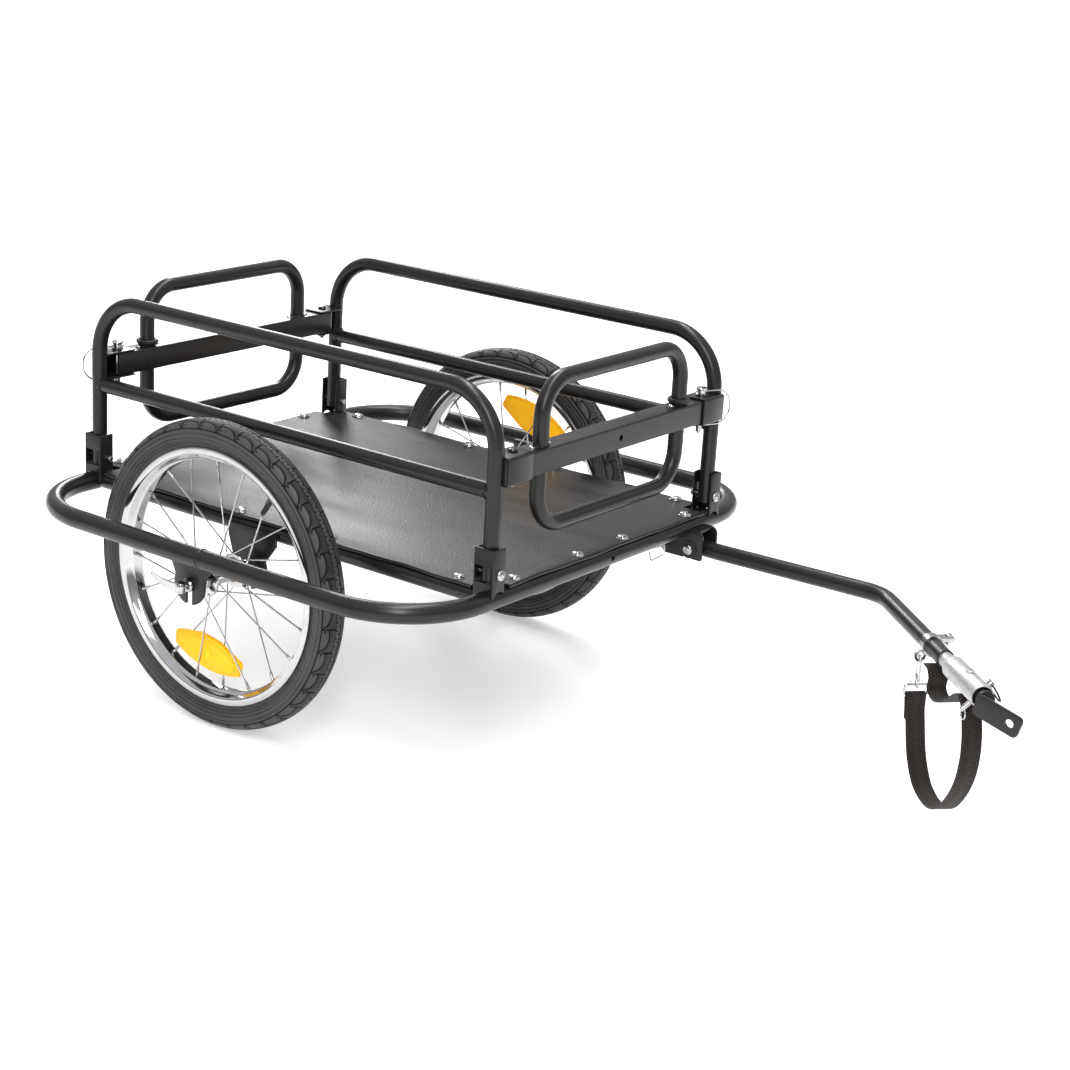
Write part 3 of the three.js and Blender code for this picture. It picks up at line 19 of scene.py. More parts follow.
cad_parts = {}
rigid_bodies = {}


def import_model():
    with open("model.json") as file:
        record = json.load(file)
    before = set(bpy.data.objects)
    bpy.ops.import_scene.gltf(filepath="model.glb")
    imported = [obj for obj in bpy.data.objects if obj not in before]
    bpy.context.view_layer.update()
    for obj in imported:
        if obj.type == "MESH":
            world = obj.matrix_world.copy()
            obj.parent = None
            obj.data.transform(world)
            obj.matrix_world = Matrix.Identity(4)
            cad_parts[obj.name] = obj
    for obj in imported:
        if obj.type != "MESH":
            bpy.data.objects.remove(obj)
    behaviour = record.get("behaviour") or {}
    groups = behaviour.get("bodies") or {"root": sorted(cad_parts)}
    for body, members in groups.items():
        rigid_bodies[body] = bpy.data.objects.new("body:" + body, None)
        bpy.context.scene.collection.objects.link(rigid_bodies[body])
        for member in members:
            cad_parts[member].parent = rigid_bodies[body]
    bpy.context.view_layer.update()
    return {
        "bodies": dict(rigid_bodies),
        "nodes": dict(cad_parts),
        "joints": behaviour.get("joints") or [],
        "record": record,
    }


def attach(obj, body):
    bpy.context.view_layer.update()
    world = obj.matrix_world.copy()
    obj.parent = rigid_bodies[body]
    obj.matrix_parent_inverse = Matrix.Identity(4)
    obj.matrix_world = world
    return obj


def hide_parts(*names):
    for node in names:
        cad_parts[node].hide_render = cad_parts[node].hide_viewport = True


LOG = logging.getLogger("trailer")
AXLE_X = -0.3332886
TRAILER = Matrix.Translation((AXLE_X, 0.0, 0.0)) @ Matrix.Scale(0.001, 4)
UP = Vector((0.0, 0.0, 1.0))
FORWARD = Vector((1.0, 0.0, 0.0))
RIGHT = Vector((0.0, -1.0, 0.0))
QUARTER = math.pi / 2
FULL_TURN = 2 * math.pi
SHARP = math.radians(32)
TURNED_SHARP = math.radians(40)
CURVED_SHARP = math.radians(50)
TYRE_SHARP = math.radians(60)
OVERRUN = 30.0
LONG_CUT = 400.0

Pair = tuple[float, float]


class Named(Enum):
    """A choice whose names are part of node names."""

    @property
    def label(self) -> str:
        """The choice's name in node names."""
        return self.name.lower()


class Side(Named):
    """The trailer's two sides, with the sign of their Y."""

    LEFT = 1
    RIGHT = -1


class End(Named):
    """The trailer's two ends, with the sign of their X."""

    FRONT = 1
    REAR = -1


@dataclass(frozen=True)
class Plan:
    """The sizes and places that several sub-assemblies share.

    Attributes:
        ring_tube: The guard ring's tube.
        ring_height: The height of the ring's middle line.
        ring_front: The ring's foremost middle line.
        ring_rear: The ring's rearmost middle line.
        rail_tube: The deck rails' tube.
        rail_offset: From the trailer's middle to a deck rail, a post and a hoop.
        post_inset: How far the posts stand in from the ring's ends.
        post_tube: The hoops' and bows' tube.
        saddle_floor: The underside of the gates' saddles.
        saddle_top: The top of the gates' saddles.
        axle_height: The wheels' middle.
        tow_offset: From the trailer's middle to the tow bar's rear run.
        tow_height: The height of the tow bar's middle line.
        tow_bolt_x: The bolt through the tow bar.
        tow_pin_x: The clevis pin through the tow bar.
    """

    ring_tube: float = 25.0
    ring_height: float = 248.0
    ring_front: float = 377.0
    ring_rear: float = -293.5
    rail_tube: float = 22.0
    rail_offset: float = 233.0
    post_inset: float = 3.0
    post_tube: float = 20.0
    saddle_floor: float = 387.2
    saddle_top: float = 422.8
    axle_height: float = 200.0
    tow_offset: float = 195.0
    tow_height: float = 221.0
    tow_bolt_x: float = 390.0
    tow_pin_x: float = 357.0

    @property
    def rail_height(self) -> float:
        """The height of the rails' middle lines, their tops level with the ring's."""
        return self.ring_height + (self.ring_tube - self.rail_tube) / 2

    def ring_x(self, end: End) -> float:
        """Where the ring's middle line crosses an end of the trailer."""
        return self.ring_front if end is End.FRONT else self.ring_rear

    def post_x(self, end: End) -> float:
        """Where the posts and the gate stand at an end of the trailer."""
        return self.ring_x(end) - end.value * self.post_inset


PLAN = Plan()


# Finishes


class Nodes:
    """A material's node tree, to which nodes are added."""

    def __init__(self, tree: bpy.types.NodeTree) -> None:
        """Keeps the tree."""
        self.tree = tree

    @property
    def shader(self) -> bpy.types.Node:
        """The material's principled shader."""
        return self.tree.nodes["Principled BSDF"]

    @cached_property
    def place(self) -> "Term":
        """Coordinates in metres."""
        return self.term("TexCoord", "Object")

    def put(self, place: bpy.types.NodeSocket, value: object) -> None:
        """Sets an input to a constant, or links a term to it.

        Args:
            place: The input.
            value: A term, or a constant of the input's kind.
        """
        if isinstance(value, Term):
            self.tree.links.new(value.output, place)
        else:
            place.default_value = value

    def add(self, kind: str, **inputs: object) -> bpy.types.Node:
        """Adds a node.

        Args:
            kind: The node's kind, as its class is named after ShaderNode.
            inputs: Its inputs by name, with _ for a space.

        Returns:
            The node.
        """
        node = self.tree.nodes.new(f"ShaderNode{kind}")
        for name, value in inputs.items():
            self.put(node.inputs[name.replace("_", " ")], value)
        return node

    def term(self, kind: str, output: str, **inputs: object) -> "Term":
        """Adds a node and returns one of its outputs as a term."""
        return Term(self, self.add(kind, **inputs).outputs[output])

    def noise(self, place: "Term", scale: float, detail: float) -> "Term":
        """A noise of so many patches per metre, from 0 to 1."""
        return self.term("TexNoise", "Fac", Vector=place, Scale=scale, Detail=detail)

    def work_out(self, operation: str, *values: "Term | float") -> "Term":
        """Adds a maths node.

        Args:
            operation: The node's operation.
            values: Its inputs, in their order.

        Returns:
            The node's output.
        """
        node = self.add("Math")
        node.operation = operation
        for place, value in zip(node.inputs, values):
            self.put(place, value)
        return Term(self, node.outputs["Value"])


@dataclass(frozen=True, eq=False)
class Term:
    """A node's output, which ordinary sums join to others by maths nodes.

    Attributes:
        nodes: The tree that the sums are added to.
        output: The node's output.
    """

    nodes: Nodes
    output: bpy.types.NodeSocket

    def to(self, operation: str, *others: "Term | float") -> "Term":
        """What an operation makes of this term and others."""
        return self.nodes.work_out(operation, self, *others)

    def __add__(self, other: "Term | float") -> "Term":
        """The sum of two terms."""
        return self.to("ADD", other)

    def __sub__(self, other: "Term | float") -> "Term":
        """The term less another."""
        return self.to("SUBTRACT", other)

    def __rsub__(self, other: float) -> "Term":
        """A number less the term."""
        return self.nodes.work_out("SUBTRACT", other, self)

    def __mul__(self, other: "Term | float") -> "Term":
        """The product of two terms."""
        return self.to("MULTIPLY", other)

    def __truediv__(self, other: "Term | float") -> "Term":
        """The term divided by another."""
        return self.to("DIVIDE", other)

    def __lt__(self, other: "Term | float") -> "Term":
        """1 where the term is less than another, or else 0."""
        return self.to("LESS_THAN", other)

    def __gt__(self, other: "Term | float") -> "Term":
        """1 where the term is more than another, or else 0."""
        return self.to("GREATER_THAN", other)

    def __abs__(self) -> "Term":
        """The term without its sign."""
        return self.to("ABSOLUTE")


@dataclass(frozen=True)
class Finish:
    """A surface finish: a colour that varies a little over a fine grain.

    Attributes:
        name: The material's name.
        slot: The record's material slot.
        colour: Linear base colour.
        roughness: Mean roughness.
        metallic: 0 or 1.
        mottle: How far the colour varies, as a share.
        mottle_size: Patches per metre.
        grain: Bump height in metres.
        grain_size: Grains per metre.
        rough_spread: How far the roughness varies either way.
        coat: Weight of a clear coat.
        sheen: Weight of a cloth sheen.
        gloss: The specular level, 0.5 for plain plastic.
    """

    name: str
    slot: str
    colour: tuple[float, float, float]
    roughness: float
    metallic: float = 0.0
    mottle: float = 0.08
    mottle_size: float = 40.0
    grain: float = 0.00004
    grain_size: float = 1500.0
    rough_spread: float = 0.06
    coat: float = 0.0
    sheen: float = 0.0
    gloss: float = 0.5

    def material(self) -> bpy.types.Material:
        """Builds the node material once, and returns it.

        Returns:
            The finish as a Blender material.
        """
        found = bpy.data.materials.get(self.name)
        if found:
            return found
        made = bpy.data.materials.new(self.name)
        made.use_nodes = True
        made.diffuse_color = (*self.colour, 1.0)
        nodes = Nodes(made.node_tree)
        shader = nodes.shader
        shader.inputs["Metallic"].default_value = self.metallic
        shader.inputs["Coat Weight"].default_value = self.coat
        shader.inputs["Coat Roughness"].default_value = 0.12
        shader.inputs["Sheen Weight"].default_value = self.sheen
        shader.inputs["Specular IOR Level"].default_value = self.gloss
        self.dress(nodes)
        return made

    def dress(self, nodes: Nodes) -> None:
        """Links colour, roughness and grain to the shader.

        Args:
            nodes: The material's node tree.
        """
        self.tint(nodes, nodes.noise(nodes.place, self.mottle_size, 4.0))
        self.roughen(nodes, nodes.noise(nodes.place, self.mottle_size * 2.6, 5.0))
        self.bump(nodes, nodes.noise(nodes.place, self.grain_size, 2.0), self.grain)

    def tint(self, nodes: Nodes, amount: Term) -> None:
        """Links a base colour that runs from darker to lighter.

        Args:
            nodes: The material's node tree.
            amount: How light the colour is, from 0 to 1.
        """
        ramp = nodes.add("ValToRGB", Fac=amount)
        shares = (1 - self.mottle, 1 + self.mottle)
        for stop, position, share in zip(ramp.color_ramp.elements, (0.3, 0.7), shares):
            stop.position = position
            stop.color = (*(min(1.0, c * share) for c in self.colour), 1.0)
        nodes.put(nodes.shader.inputs["Base Color"], Term(nodes, ramp.outputs["Color"]))

    def roughen(self, nodes: Nodes, amount: Term) -> None:
        """Links a roughness that varies about its mean.

        Args:
            nodes: The material's node tree.
            amount: How rough the surface is within the spread, from 0 to 1.
        """
        low, high = self.roughness - self.rough_spread, self.roughness + self.rough_spread
        rough = nodes.term("MapRange", "Result", Value=amount, To_Min=low, To_Max=high)
        nodes.put(nodes.shader.inputs["Roughness"], rough)

    def bump(self, nodes: Nodes, height: Term, depth: float) -> None:
        """Raises the surface.

        Args:
            nodes: The material's node tree.
            height: How high the surface stands, from 0 to 1.
            depth: The height of 1, in metres.
        """
        raised = nodes.term("Bump", "Normal", Strength=1.0, Distance=depth, Height=height)
        nodes.put(nodes.shader.inputs["Normal"], raised)


@dataclass(frozen=True)
class BoardFinish(Finish):
    """A film-faced board: a pebbled skin with long, soft streaks of painted sheen in its colour, along which
    its roughness varies too.

    Attributes:
        streak_turn: How far the streaks are turned.
        streak_scale: How closely they follow one another along and across.
    """

    streak_turn: float = math.radians(24)
    streak_scale: tuple[float, float, float] = (0.5, 2.6, 1.0)

    def dress(self, nodes: Nodes) -> None:
        """Links streaky colour with painted sheen, streaky roughness and a pebbled bump.

        Args:
            nodes: The material's node tree.
        """
        turn = (0.0, 0.0, self.streak_turn)
        stretched = nodes.term(
            "Mapping", "Vector", Vector=nodes.place, Rotation=turn, Scale=self.streak_scale
        )
        streaks = nodes.noise(stretched, self.mottle_size, 6.0)
        # The streaks paint the board's sheen into its colour as lighter and darker bands: painted sheen. The
        # roughness follows them too.
        self.tint(nodes, streaks)
        self.roughen(nodes, streaks)
        pebbles = nodes.add("TexVoronoi", Vector=nodes.place, Scale=self.grain_size)
        pebbles.feature = "SMOOTH_F1"
        self.bump(nodes, Term(nodes, pebbles.outputs["Distance"]), self.grain)


@dataclass(frozen=True)
class TreadFinish(Finish):
    """A tyre's rubber, on a map whose U counts scales round the tyre and V is its section's angle / 100.

    Attributes:
        inner: V of the groove between tread and sidewall.
        outer: V of the groove between the scales and the crown.
        wall_end: V where the sidewall's rings end, at the rim.
        pitch: A scale's length in millimetres.
        arc: Millimetres to a unit of V.
        heart: The width of the heart in each scale, in millimetres.
        heart_reach: The heart's length, as a share of twice the scale's.
        heart_rim: How much wider the line round the heart runs.
        rim_depth: How much shallower that line is, in millimetres of groove.
        bars: Short bars on the crown to each scale.
        groove: The grooves' half width, from floor to full height, in millimetres.
        far: More millimetres than any groove is away.
        ring_turns: Radians of the sidewall's rings to a unit of V.
        depth: The grooves' depth in metres.
        crest_foot: Where the M across a scale's top starts, as a share of the scale.
        crest_height: How high the M's points stand over that, as a share of the scale.
        sunk_shade: How much darker the scales are outside their hearts.
        ring_shine: How much lighter the sidewall's rings are painted, as a painted highlight.
        ring_rise: How high the rings stand, as a share of the depth.
        grain_rise: How high the grain stands, as a share of the depth.
        groove_light: How much of the colour and the specular level the grooves keep under their painted
            shade.
        patch_share: How much of the colour is in patches.
    """

    inner: float = 0.7
    outer: float = 0.09
    wall_end: float = 1.3
    pitch: float = 32.2
    arc: float = 33.0
    heart: float = 12.0
    heart_reach: float = 0.6
    heart_rim: float = 2.6
    rim_depth: float = 0.45
    bars: float = 3.0
    groove: Pair = (0.25, 0.95)
    far: float = 9.0
    ring_turns: float = 42.0
    depth: float = 0.0022
    crest_foot: float = 0.76
    crest_height: float = 0.17
    sunk_shade: float = 0.34
    ring_shine: float = 0.22
    ring_rise: float = 0.3
    grain_rise: float = 0.06
    groove_light: float = 0.08
    patch_share: float = 0.7

    def dress(self, nodes: Nodes) -> None:
        """Links worn rubber and the tread's cut pattern, with painted shade in its grooves and its sunk
        scales and a painted highlight on its sidewall's rings.

        Args:
            nodes: The material's node tree.
        """
        parts = nodes.add("SeparateXYZ", Vector=nodes.term("UVMap", "UV"))
        round_tyre, across = (Term(nodes, parts.outputs[axis]) for axis in "XY")
        out = abs(across)
        scales = round_tyre + (across < 0.0) * 0.5
        rise = (self.inner - out) / (self.inner - self.outer)
        nearest, hollow = self.hearts(scales, rise)
        in_band = (rise > -0.04) * (rise < 1.04)
        on_crown = out < self.outer
        bars = abs((scales * self.bars).to("FRACT") - 0.5) * (self.pitch / self.bars)
        elsewhere = (1.0 - in_band.to("MAXIMUM", on_crown)) * self.far
        gap = nearest * in_band + bars * on_crown + elsewhere
        low, high = self.groove
        stand = nodes.add("MapRange", Value=gap, From_Min=low, From_Max=high)
        stand.interpolation_type = "SMOOTHSTEP"
        stands = Term(nodes, stand.outputs["Result"])
        on_wall = (out > self.inner + 0.05) * (out < self.wall_end)
        rings = (out * self.ring_turns).to("SINE") * on_wall
        grain = nodes.noise(nodes.place, self.grain_size, 3.0)
        # Painted light: the grooves and the scales outside their hearts are painted darker as shade, and the
        # sidewall's rings lighter as a highlight; raised carries this into the colour and the specular level.
        painted_light = 1.0 - in_band * (1.0 - hollow) * self.sunk_shade + rings * self.ring_shine
        raised = stands * painted_light * (1.0 - self.groove_light) + self.groove_light
        patches = nodes.noise(nodes.place, self.mottle_size, 4.0)
        self.tint(nodes, (patches * self.patch_share + (1.0 - self.patch_share)) * raised)
        nodes.put(nodes.shader.inputs["Specular IOR Level"], raised * self.gloss)
        nodes.shader.inputs["Roughness"].default_value = self.roughness
        height = stands + rings * self.ring_rise + grain * self.grain_rise
        self.bump(nodes, height, self.depth)

    def hearts(self, scales: Term, rise: Term) -> tuple[Term, Term]:
        """The scales' lines: an M across each scale's top, with a heart drawn from it by two ovals.

        Args:
            scales: The place round the tyre, in scales.
            rise: The place from the inner groove, at 0, to the outer one, at 1.

        Returns:
            Millimetres to the nearest line, and 1 inside the heart or else 0.
        """
        along = scales.to("FRACT") * self.pitch
        band = (self.inner - self.outer) * self.arc
        up = rise * band
        lobe = (up / (0.9 * self.heart)).to("MINIMUM", 0.75)
        crest = abs((lobe * FULL_TURN).to("SINE"))
        past = along - (crest * self.crest_height + self.crest_foot) * self.pitch
        nearest = abs(rise).to("MINIMUM", abs(rise - 1.0)) * band
        nearest = nearest.to("MINIMUM", abs(past) * 0.6)
        hollow = past < 0.0
        long = self.heart_reach * self.pitch
        for wide, shallow in ((self.heart, 0.0), (self.heart + self.heart_rim, self.rim_depth)):
            q, w = (along - long) / long, up / wide
            oval = q * q + w * w - 1.0
            q_slope, w_slope = q / long, w / wide
            slope = (q_slope * q_slope + w_slope * w_slope).to("SQRT") * 2.0
            line = abs(oval) / slope + (past > 0.0) * self.far + shallow
            nearest = nearest.to("MINIMUM", line)
            hollow = hollow * (oval < 0.0)
        return nearest, hollow


@dataclass(frozen=True)
class PrismFinish(Finish):
    """A reflector's lens: coloured plastic over a grid of small pyramids.

    Attributes:
        glow: How strongly the lens glows with its own colour, a painted glow for the light that it shines
            back.
        jitter: How far the pyramids stray from their grid.
    """

    glow: float = 0.28
    jitter: float = 0.15

    def dress(self, nodes: Nodes) -> None:
        """Links a lens colour with a painted glow and painted shade over its pyramids, and a pyramid bump.

        Args:
            nodes: The material's node tree.
        """
        # Painted glow: the lens emits its own colour, though it is no lamp.
        nodes.shader.inputs["Emission Color"].default_value = (*self.colour, 1.0)
        nodes.shader.inputs["Emission Strength"].default_value = self.glow
        cells = nodes.add("TexVoronoi", Vector=nodes.place, Scale=self.grain_size, Randomness=self.jitter)
        cells.distance = "MANHATTAN"
        pyramids = Term(nodes, cells.outputs["Distance"])
        # The colour follows the pyramids, darker where their bump is low at their middles and lighter to
        # their edges: painted shade on their facets.
        self.tint(nodes, pyramids)
        self.roughen(nodes, nodes.noise(nodes.place, self.mottle_size, 3.0))
        self.bump(nodes, pyramids, self.grain)


@dataclass(frozen=True)
class WebbingFinish(Finish):
    """Woven webbing: a twill of ribs on a map whose U runs across and V along, in millimetres.

    Attributes:
        weave: The angle of each set of threads in degrees, with its ribs per millimetre.
    """

    weave: tuple[Pair, ...] = ((0.0, 0.13), (58.0, 0.1), (-58.0, 0.1))

    def dress(self, nodes: Nodes) -> None:
        """Links a ribbed weave and a thread colour, with painted shade in the weave's hollows.

        Args:
            nodes: The material's node tree.
        """
        flat = nodes.term("UVMap", "UV")
        sets = []
        for angle, ribs in self.weave:
            turned = nodes.term("Mapping", "Vector", Vector=flat, Rotation=(0.0, 0.0, math.radians(angle)))
            sets.append(nodes.term("TexWave", "Fac", Vector=turned, Scale=ribs, Distortion=0.6))
        threads = sets[0] + sets[1] + sets[2]
        height = nodes.term("MapRange", "Result", Value=threads, From_Min=0.6, From_Max=2.4)
        # The colour follows the ribs, darker in the hollows between the threads: painted shade.
        self.tint(nodes, height)
        nodes.shader.inputs["Roughness"].default_value = self.roughness
        self.bump(nodes, height, self.grain)


POWDER = Finish(
    "black_powder_coat", "frame_paint", (0.0085, 0.0073, 0.0068), 0.3, mottle=0.12, grain=0.00003,
    rough_spread=0.05, gloss=0.34,
)
BOARD = BoardFinish(
    "deck_board_film", "deck_panel", (0.0135, 0.012, 0.0112), 0.42, mottle=0.85, mottle_size=9.0,
    grain=0.00028, grain_size=420.0, rough_spread=0.2, gloss=0.41,
)
RUBBER_TYRE = TreadFinish(
    "tyre_rubber", "tyre", (0.024, 0.0228, 0.0215), 0.5, mottle=0.75, mottle_size=26.0, grain_size=900.0,
    sheen=0.02, gloss=0.36,
)
RUBBER = Finish(
    "moulded_rubber", "black_rubber", (0.008, 0.008, 0.008), 0.5, mottle=0.15, grain=0.00005, gloss=0.4,
)
CHROME = Finish(
    "bright_chrome", "chrome", (0.46, 0.46, 0.47), 0.08, metallic=1.0, mottle=0.06, mottle_size=60.0,
    grain=0.00001, rough_spread=0.05,
)
ZINC = Finish(
    "zinc_plate", "zinc", (0.4, 0.4, 0.405), 0.2, metallic=1.0, mottle=0.14, mottle_size=160.0,
    grain=0.00003,
)
SILVER = Finish(
    "satin_silver", "sleeve_silver", (0.5, 0.5, 0.505), 0.44, metallic=0.85, mottle=0.16,
    mottle_size=300.0, grain=0.00006, grain_size=900.0,
)
LENS = PrismFinish(
    "orange_lens", "reflector_lens", (1.0, 0.37, 0.0), 0.36, mottle=0.5, mottle_size=30.0, grain=0.0006,
    grain_size=420.0, coat=0.1, gloss=0.3,
)
WEBBING = WebbingFinish(
    "brown_black_webbing", "webbing", (0.015, 0.0105, 0.0085), 0.85, mottle=0.8, grain=0.0008,
    sheen=0.12, gloss=0.2,
)


# Shapes


class Shape:
    """A surface under construction, as vertices and faces in millimetres."""

    def __init__(self, verts: Iterable[Vector] = (), faces: Iterable[Sequence[int]] = ()) -> None:
        """Starts from vertices and faces."""
        self.verts = [Vector(v) for v in verts]
        self.faces = [tuple(f) for f in faces]

    def add(self, *others: "Shape") -> "Shape":
        """Takes in other shapes as they are.

        Args:
            others: The other shapes.

        Returns:
            The shape itself.
        """
        for other in others:
            base = len(self.verts)
            self.verts.extend(v.copy() for v in other.verts)
            self.faces.extend(tuple(i + base for i in f) for f in other.faces)
        return self

    def joined(self, rings: int, size: int, closed: bool = False) -> "Shape":
        """Joins the shape's vertices, which are rings one after another, with faces.

        Args:
            rings: How many rings there are.
            size: A ring's vertices.
            closed: Whether the last ring meets the first, or else both get a cap.

        Returns:
            The shape itself.
        """
        for i in range(rings if closed else rings - 1):
            a, b = i * size, ((i + 1) % rings) * size
            self.faces.extend((a + k, a + (k + 1) % size, b + (k + 1) % size, b + k) for k in range(size))
        if not closed:
            self.faces += [tuple(range(size)), tuple(range((rings - 1) * size, rings * size))]
        return self

    def moved(self, matrix: Matrix) -> "Shape":
        """A copy of the shape, moved by a matrix."""
        return Shape([matrix @ v for v in self.verts], self.faces)

    def bevelled(self, width: float, segments: int = 2, angle: float = SHARP) -> "Shape":
        """A copy whose sharp edges are rounded.

        Args:
            width: The rounding's width in millimetres.
            segments: Faces across the rounding.
            angle: Edges sharper than this are rounded.

        Returns:
            The rounded shape.
        """
        work = bmesh.new()
        for v in self.verts:
            work.verts.new(v)
        work.verts.ensure_lookup_table()
        for f in self.faces:
            work.faces.new([work.verts[i] for i in f])
        bmesh.ops.recalc_face_normals(work, faces=work.faces)
        sharp = [e for e in work.edges if len(e.link_faces) == 2 and e.calc_face_angle(0.0) > angle]
        bmesh.ops.bevel(
            work, geom=sharp, offset=width, segments=segments, profile=0.5, affect="EDGES",
            clamp_overlap=True,
        )
        work.verts.index_update()
        made = Shape([v.co.copy() for v in work.verts], [[v.index for v in f.verts] for f in work.faces])
        work.free()
        return made


def vec(x: float, y: float, z: float) -> Vector:
    """A point or direction."""
    return Vector((x, y, z))


def aim(start: Vector, direction: Vector) -> Matrix:
    """The matrix that puts the origin at start and turns +Z to a direction."""
    return Matrix.Translation(start) @ direction.to_track_quat("Z", "Y").to_matrix().to_4x4()


def sweep(points: Sequence[Vector], outline: Sequence[Pair], closed: bool = False) -> Shape:
    """Sweeps an outline along a line of points, without twist.

    Args:
        points: The line's points.
        outline: The section as (across, up) pairs.
        closed: Whether the line closes on itself.

    Returns:
        The swept surface, capped where it isn't closed.
    """
    count = len(points)
    shape = Shape()
    side = None
    for i, point in enumerate(points):
        before = points[(i - 1) % count] if closed else points[max(i - 1, 0)]
        after = points[(i + 1) % count] if closed else points[min(i + 1, count - 1)]
        along = (after - before).normalized()
        if side is None:
            side = along.cross(UP if abs(along.z) < 0.9 else -RIGHT)
        side = (side - along * side.dot(along)).normalized()
        up = side.cross(along)
        shape.verts.extend(point + side * u + up * v for u, v in outline)
    return shape.joined(count, len(outline), closed)


def circle(radius: float, count: int = 28) -> list[Pair]:
    """A round outline."""
    angles = [FULL_TURN * k / count for k in range(count)]
    return [(radius * math.cos(a), radius * math.sin(a)) for a in angles]


def arc(cx: float, cy: float, radius: float, start: float, end: float, steps: int = 16) -> list[Pair]:
    """Points of an arc, with its angles in degrees."""
    angles = [math.radians(start + (end - start) * k / steps) for k in range(steps + 1)]
    return [(cx + radius * math.cos(a), cy + radius * math.sin(a)) for a in angles]


def rounded_box(half_width: float, half_height: float, radius: float, steps: int = 4) -> list[Pair]:
    """A rectangular outline with round corners.

    Args:
        half_width: Half its width.
        half_height: Half its height.
        radius: The corners' radius.
        steps: Steps round a corner.

    Returns:
        The outline's points.
    """
    outline = []
    for quarter, (sx, sy) in enumerate(((1, 1), (-1, 1), (-1, -1), (1, -1))):
        centre = (sx * (half_width - radius), sy * (half_height - radius))
        outline += arc(*centre, radius, 90 * quarter, 90 * (quarter + 1), steps)
    return outline


def bent(corners: Sequence[Vector], radius: float, steps: int = 14, closed: bool = False) -> list[Vector]:
    """A line through corners, each rounded by an arc.

    Args:
        corners: The corner points, none of them twice.
        radius: The arcs' radius.
        steps: Steps in a quarter turn.
        closed: Whether the line closes on itself.

    Returns:
        The line's points.
    """
    straight = math.radians(89.8)
    count = len(corners)
    points = []
    for i, corner in enumerate(corners):
        back = (corners[i - 1] - corner).normalized()
        ahead = (corners[(i + 1) % count] - corner).normalized()
        half = back.angle(ahead) / 2
        if half > straight or not closed and i in (0, count - 1):
            points.append(corner.copy())
            continue
        centre = corner + (back + ahead).normalized() * (radius / math.sin(half))
        start = corner + back * (radius / math.tan(half)) - centre
        axis = ahead.cross(back).normalized()
        turn = math.pi - 2 * half
        runs = max(2, math.ceil(steps * turn / QUARTER))
        points.extend(centre + Matrix.Rotation(turn * k / runs, 3, axis) @ start for k in range(runs + 1))
    return points


def tube(points: Sequence[Vector], radius: float, count: int = 28, closed: bool = False) -> Shape:
    """A round tube along points."""
    return sweep(points, circle(radius, count), closed)


def lathe(profile: Sequence[Pair], steps: int = 32, closed: bool = False) -> Shape:
    """Turns a profile of (radius, height) pairs about Z.

    Args:
        profile: The profile's points; a radius of zero is on the axis.
        steps: Steps round the axis.
        closed: Whether the profile closes on itself.

    Returns:
        The turned surface.
    """
    shape = Shape()
    rows: list[list[int]] = []
    for radius, height in profile:
        base = len(shape.verts)
        on_axis = radius < 1e-6
        ring = [(0.0, 0.0)] if on_axis else circle(radius, steps)
        shape.verts.extend(vec(x, y, height) for x, y in ring)
        rows.append(list(range(base, base + len(ring))))
    pairs = list(zip(rows, rows[1:])) + ([(rows[-1], rows[0])] if closed else [])
    for a, b in pairs:
        for i in range(steps):
            j = (i + 1) % steps
            corners = [a[i % len(a)], a[j % len(a)], b[j % len(b)], b[i % len(b)]]
            face = [v for n, v in enumerate(corners) if v not in corners[:n]]
            if len(face) > 2:
                shape.faces.append(tuple(face))
    return shape


def mirrored(half: Sequence[Pair], join: int = 0) -> list[Pair]:
    """A profile with the second half that mirrors it.

    Args:
        half: The profile's first half, as (radius, height) pairs.
        join: How many of its last points lie on the mirror line, and aren't repeated.

    Returns:
        The whole profile.
    """
    return [*half, *((r, -h) for r, h in reversed(half[: len(half) - join]))]


def spun(profile: Sequence[Pair], start: Vector, direction: Vector, steps: int = 24) -> Shape:
    """A profile of (radius, distance) pairs turned about a line."""
    return lathe(profile, steps).moved(aim(start, direction))


def rod(start: Vector, end: Vector, radius: float, steps: int = 20, chamfer: float = 0.0) -> Shape:
    """A round bar between two points, with chamfered ends.

    Args:
        start: The middle of one end.
        end: The middle of the other end.
        radius: The bar's radius.
        steps: Its sides.
        chamfer: The ends' chamfer.

    Returns:
        The bar.
    """
    length = (end - start).length
    c = min(chamfer, radius * 0.6, length * 0.4)
    if c == 0.0:
        return spun([(0.0, 0.0), (radius, 0.0), (radius, length), (0.0, length)], start, end - start, steps)
    foot = [(0.0, 0.0), (radius - c, 0.0), (radius, c)]
    return spun([*foot, *((r, length - h) for r, h in reversed(foot))], start, end - start, steps)


def domed(radius: float, height: float, skirt: float = 0.0, steps: int = 6) -> list[Pair]:
    """The profile of a domed head that stands on height 0.

    Args:
        radius: The head's radius.
        height: Its height.
        skirt: The height of its straight edge.
        steps: Steps from edge to top.

    Returns:
        The profile as (radius, height) pairs.
    """
    profile = [(0.0, 0.0), (radius, 0.0)]
    for k in range(steps):
        a = QUARTER * k / steps
        profile.append((radius * math.cos(a), skirt + (height - skirt) * math.sin(a)))
    return [*profile, (0.0, height)]


def prism(outline: Sequence[Pair], low: float, high: float) -> Shape:
    """A flat outline in X and Y, from one height to another."""
    return Shape([vec(x, y, z) for z in (low, high) for x, y in outline]).joined(2, len(outline))


def block(a: Vector, b: Vector) -> Shape:
    """A box between two corners."""
    low, high = [vec(*(f(p, q) for p, q in zip(a, b))) for f in (min, max)]
    return prism([(low.x, low.y), (high.x, low.y), (high.x, high.y), (low.x, high.y)], low.z, high.z)


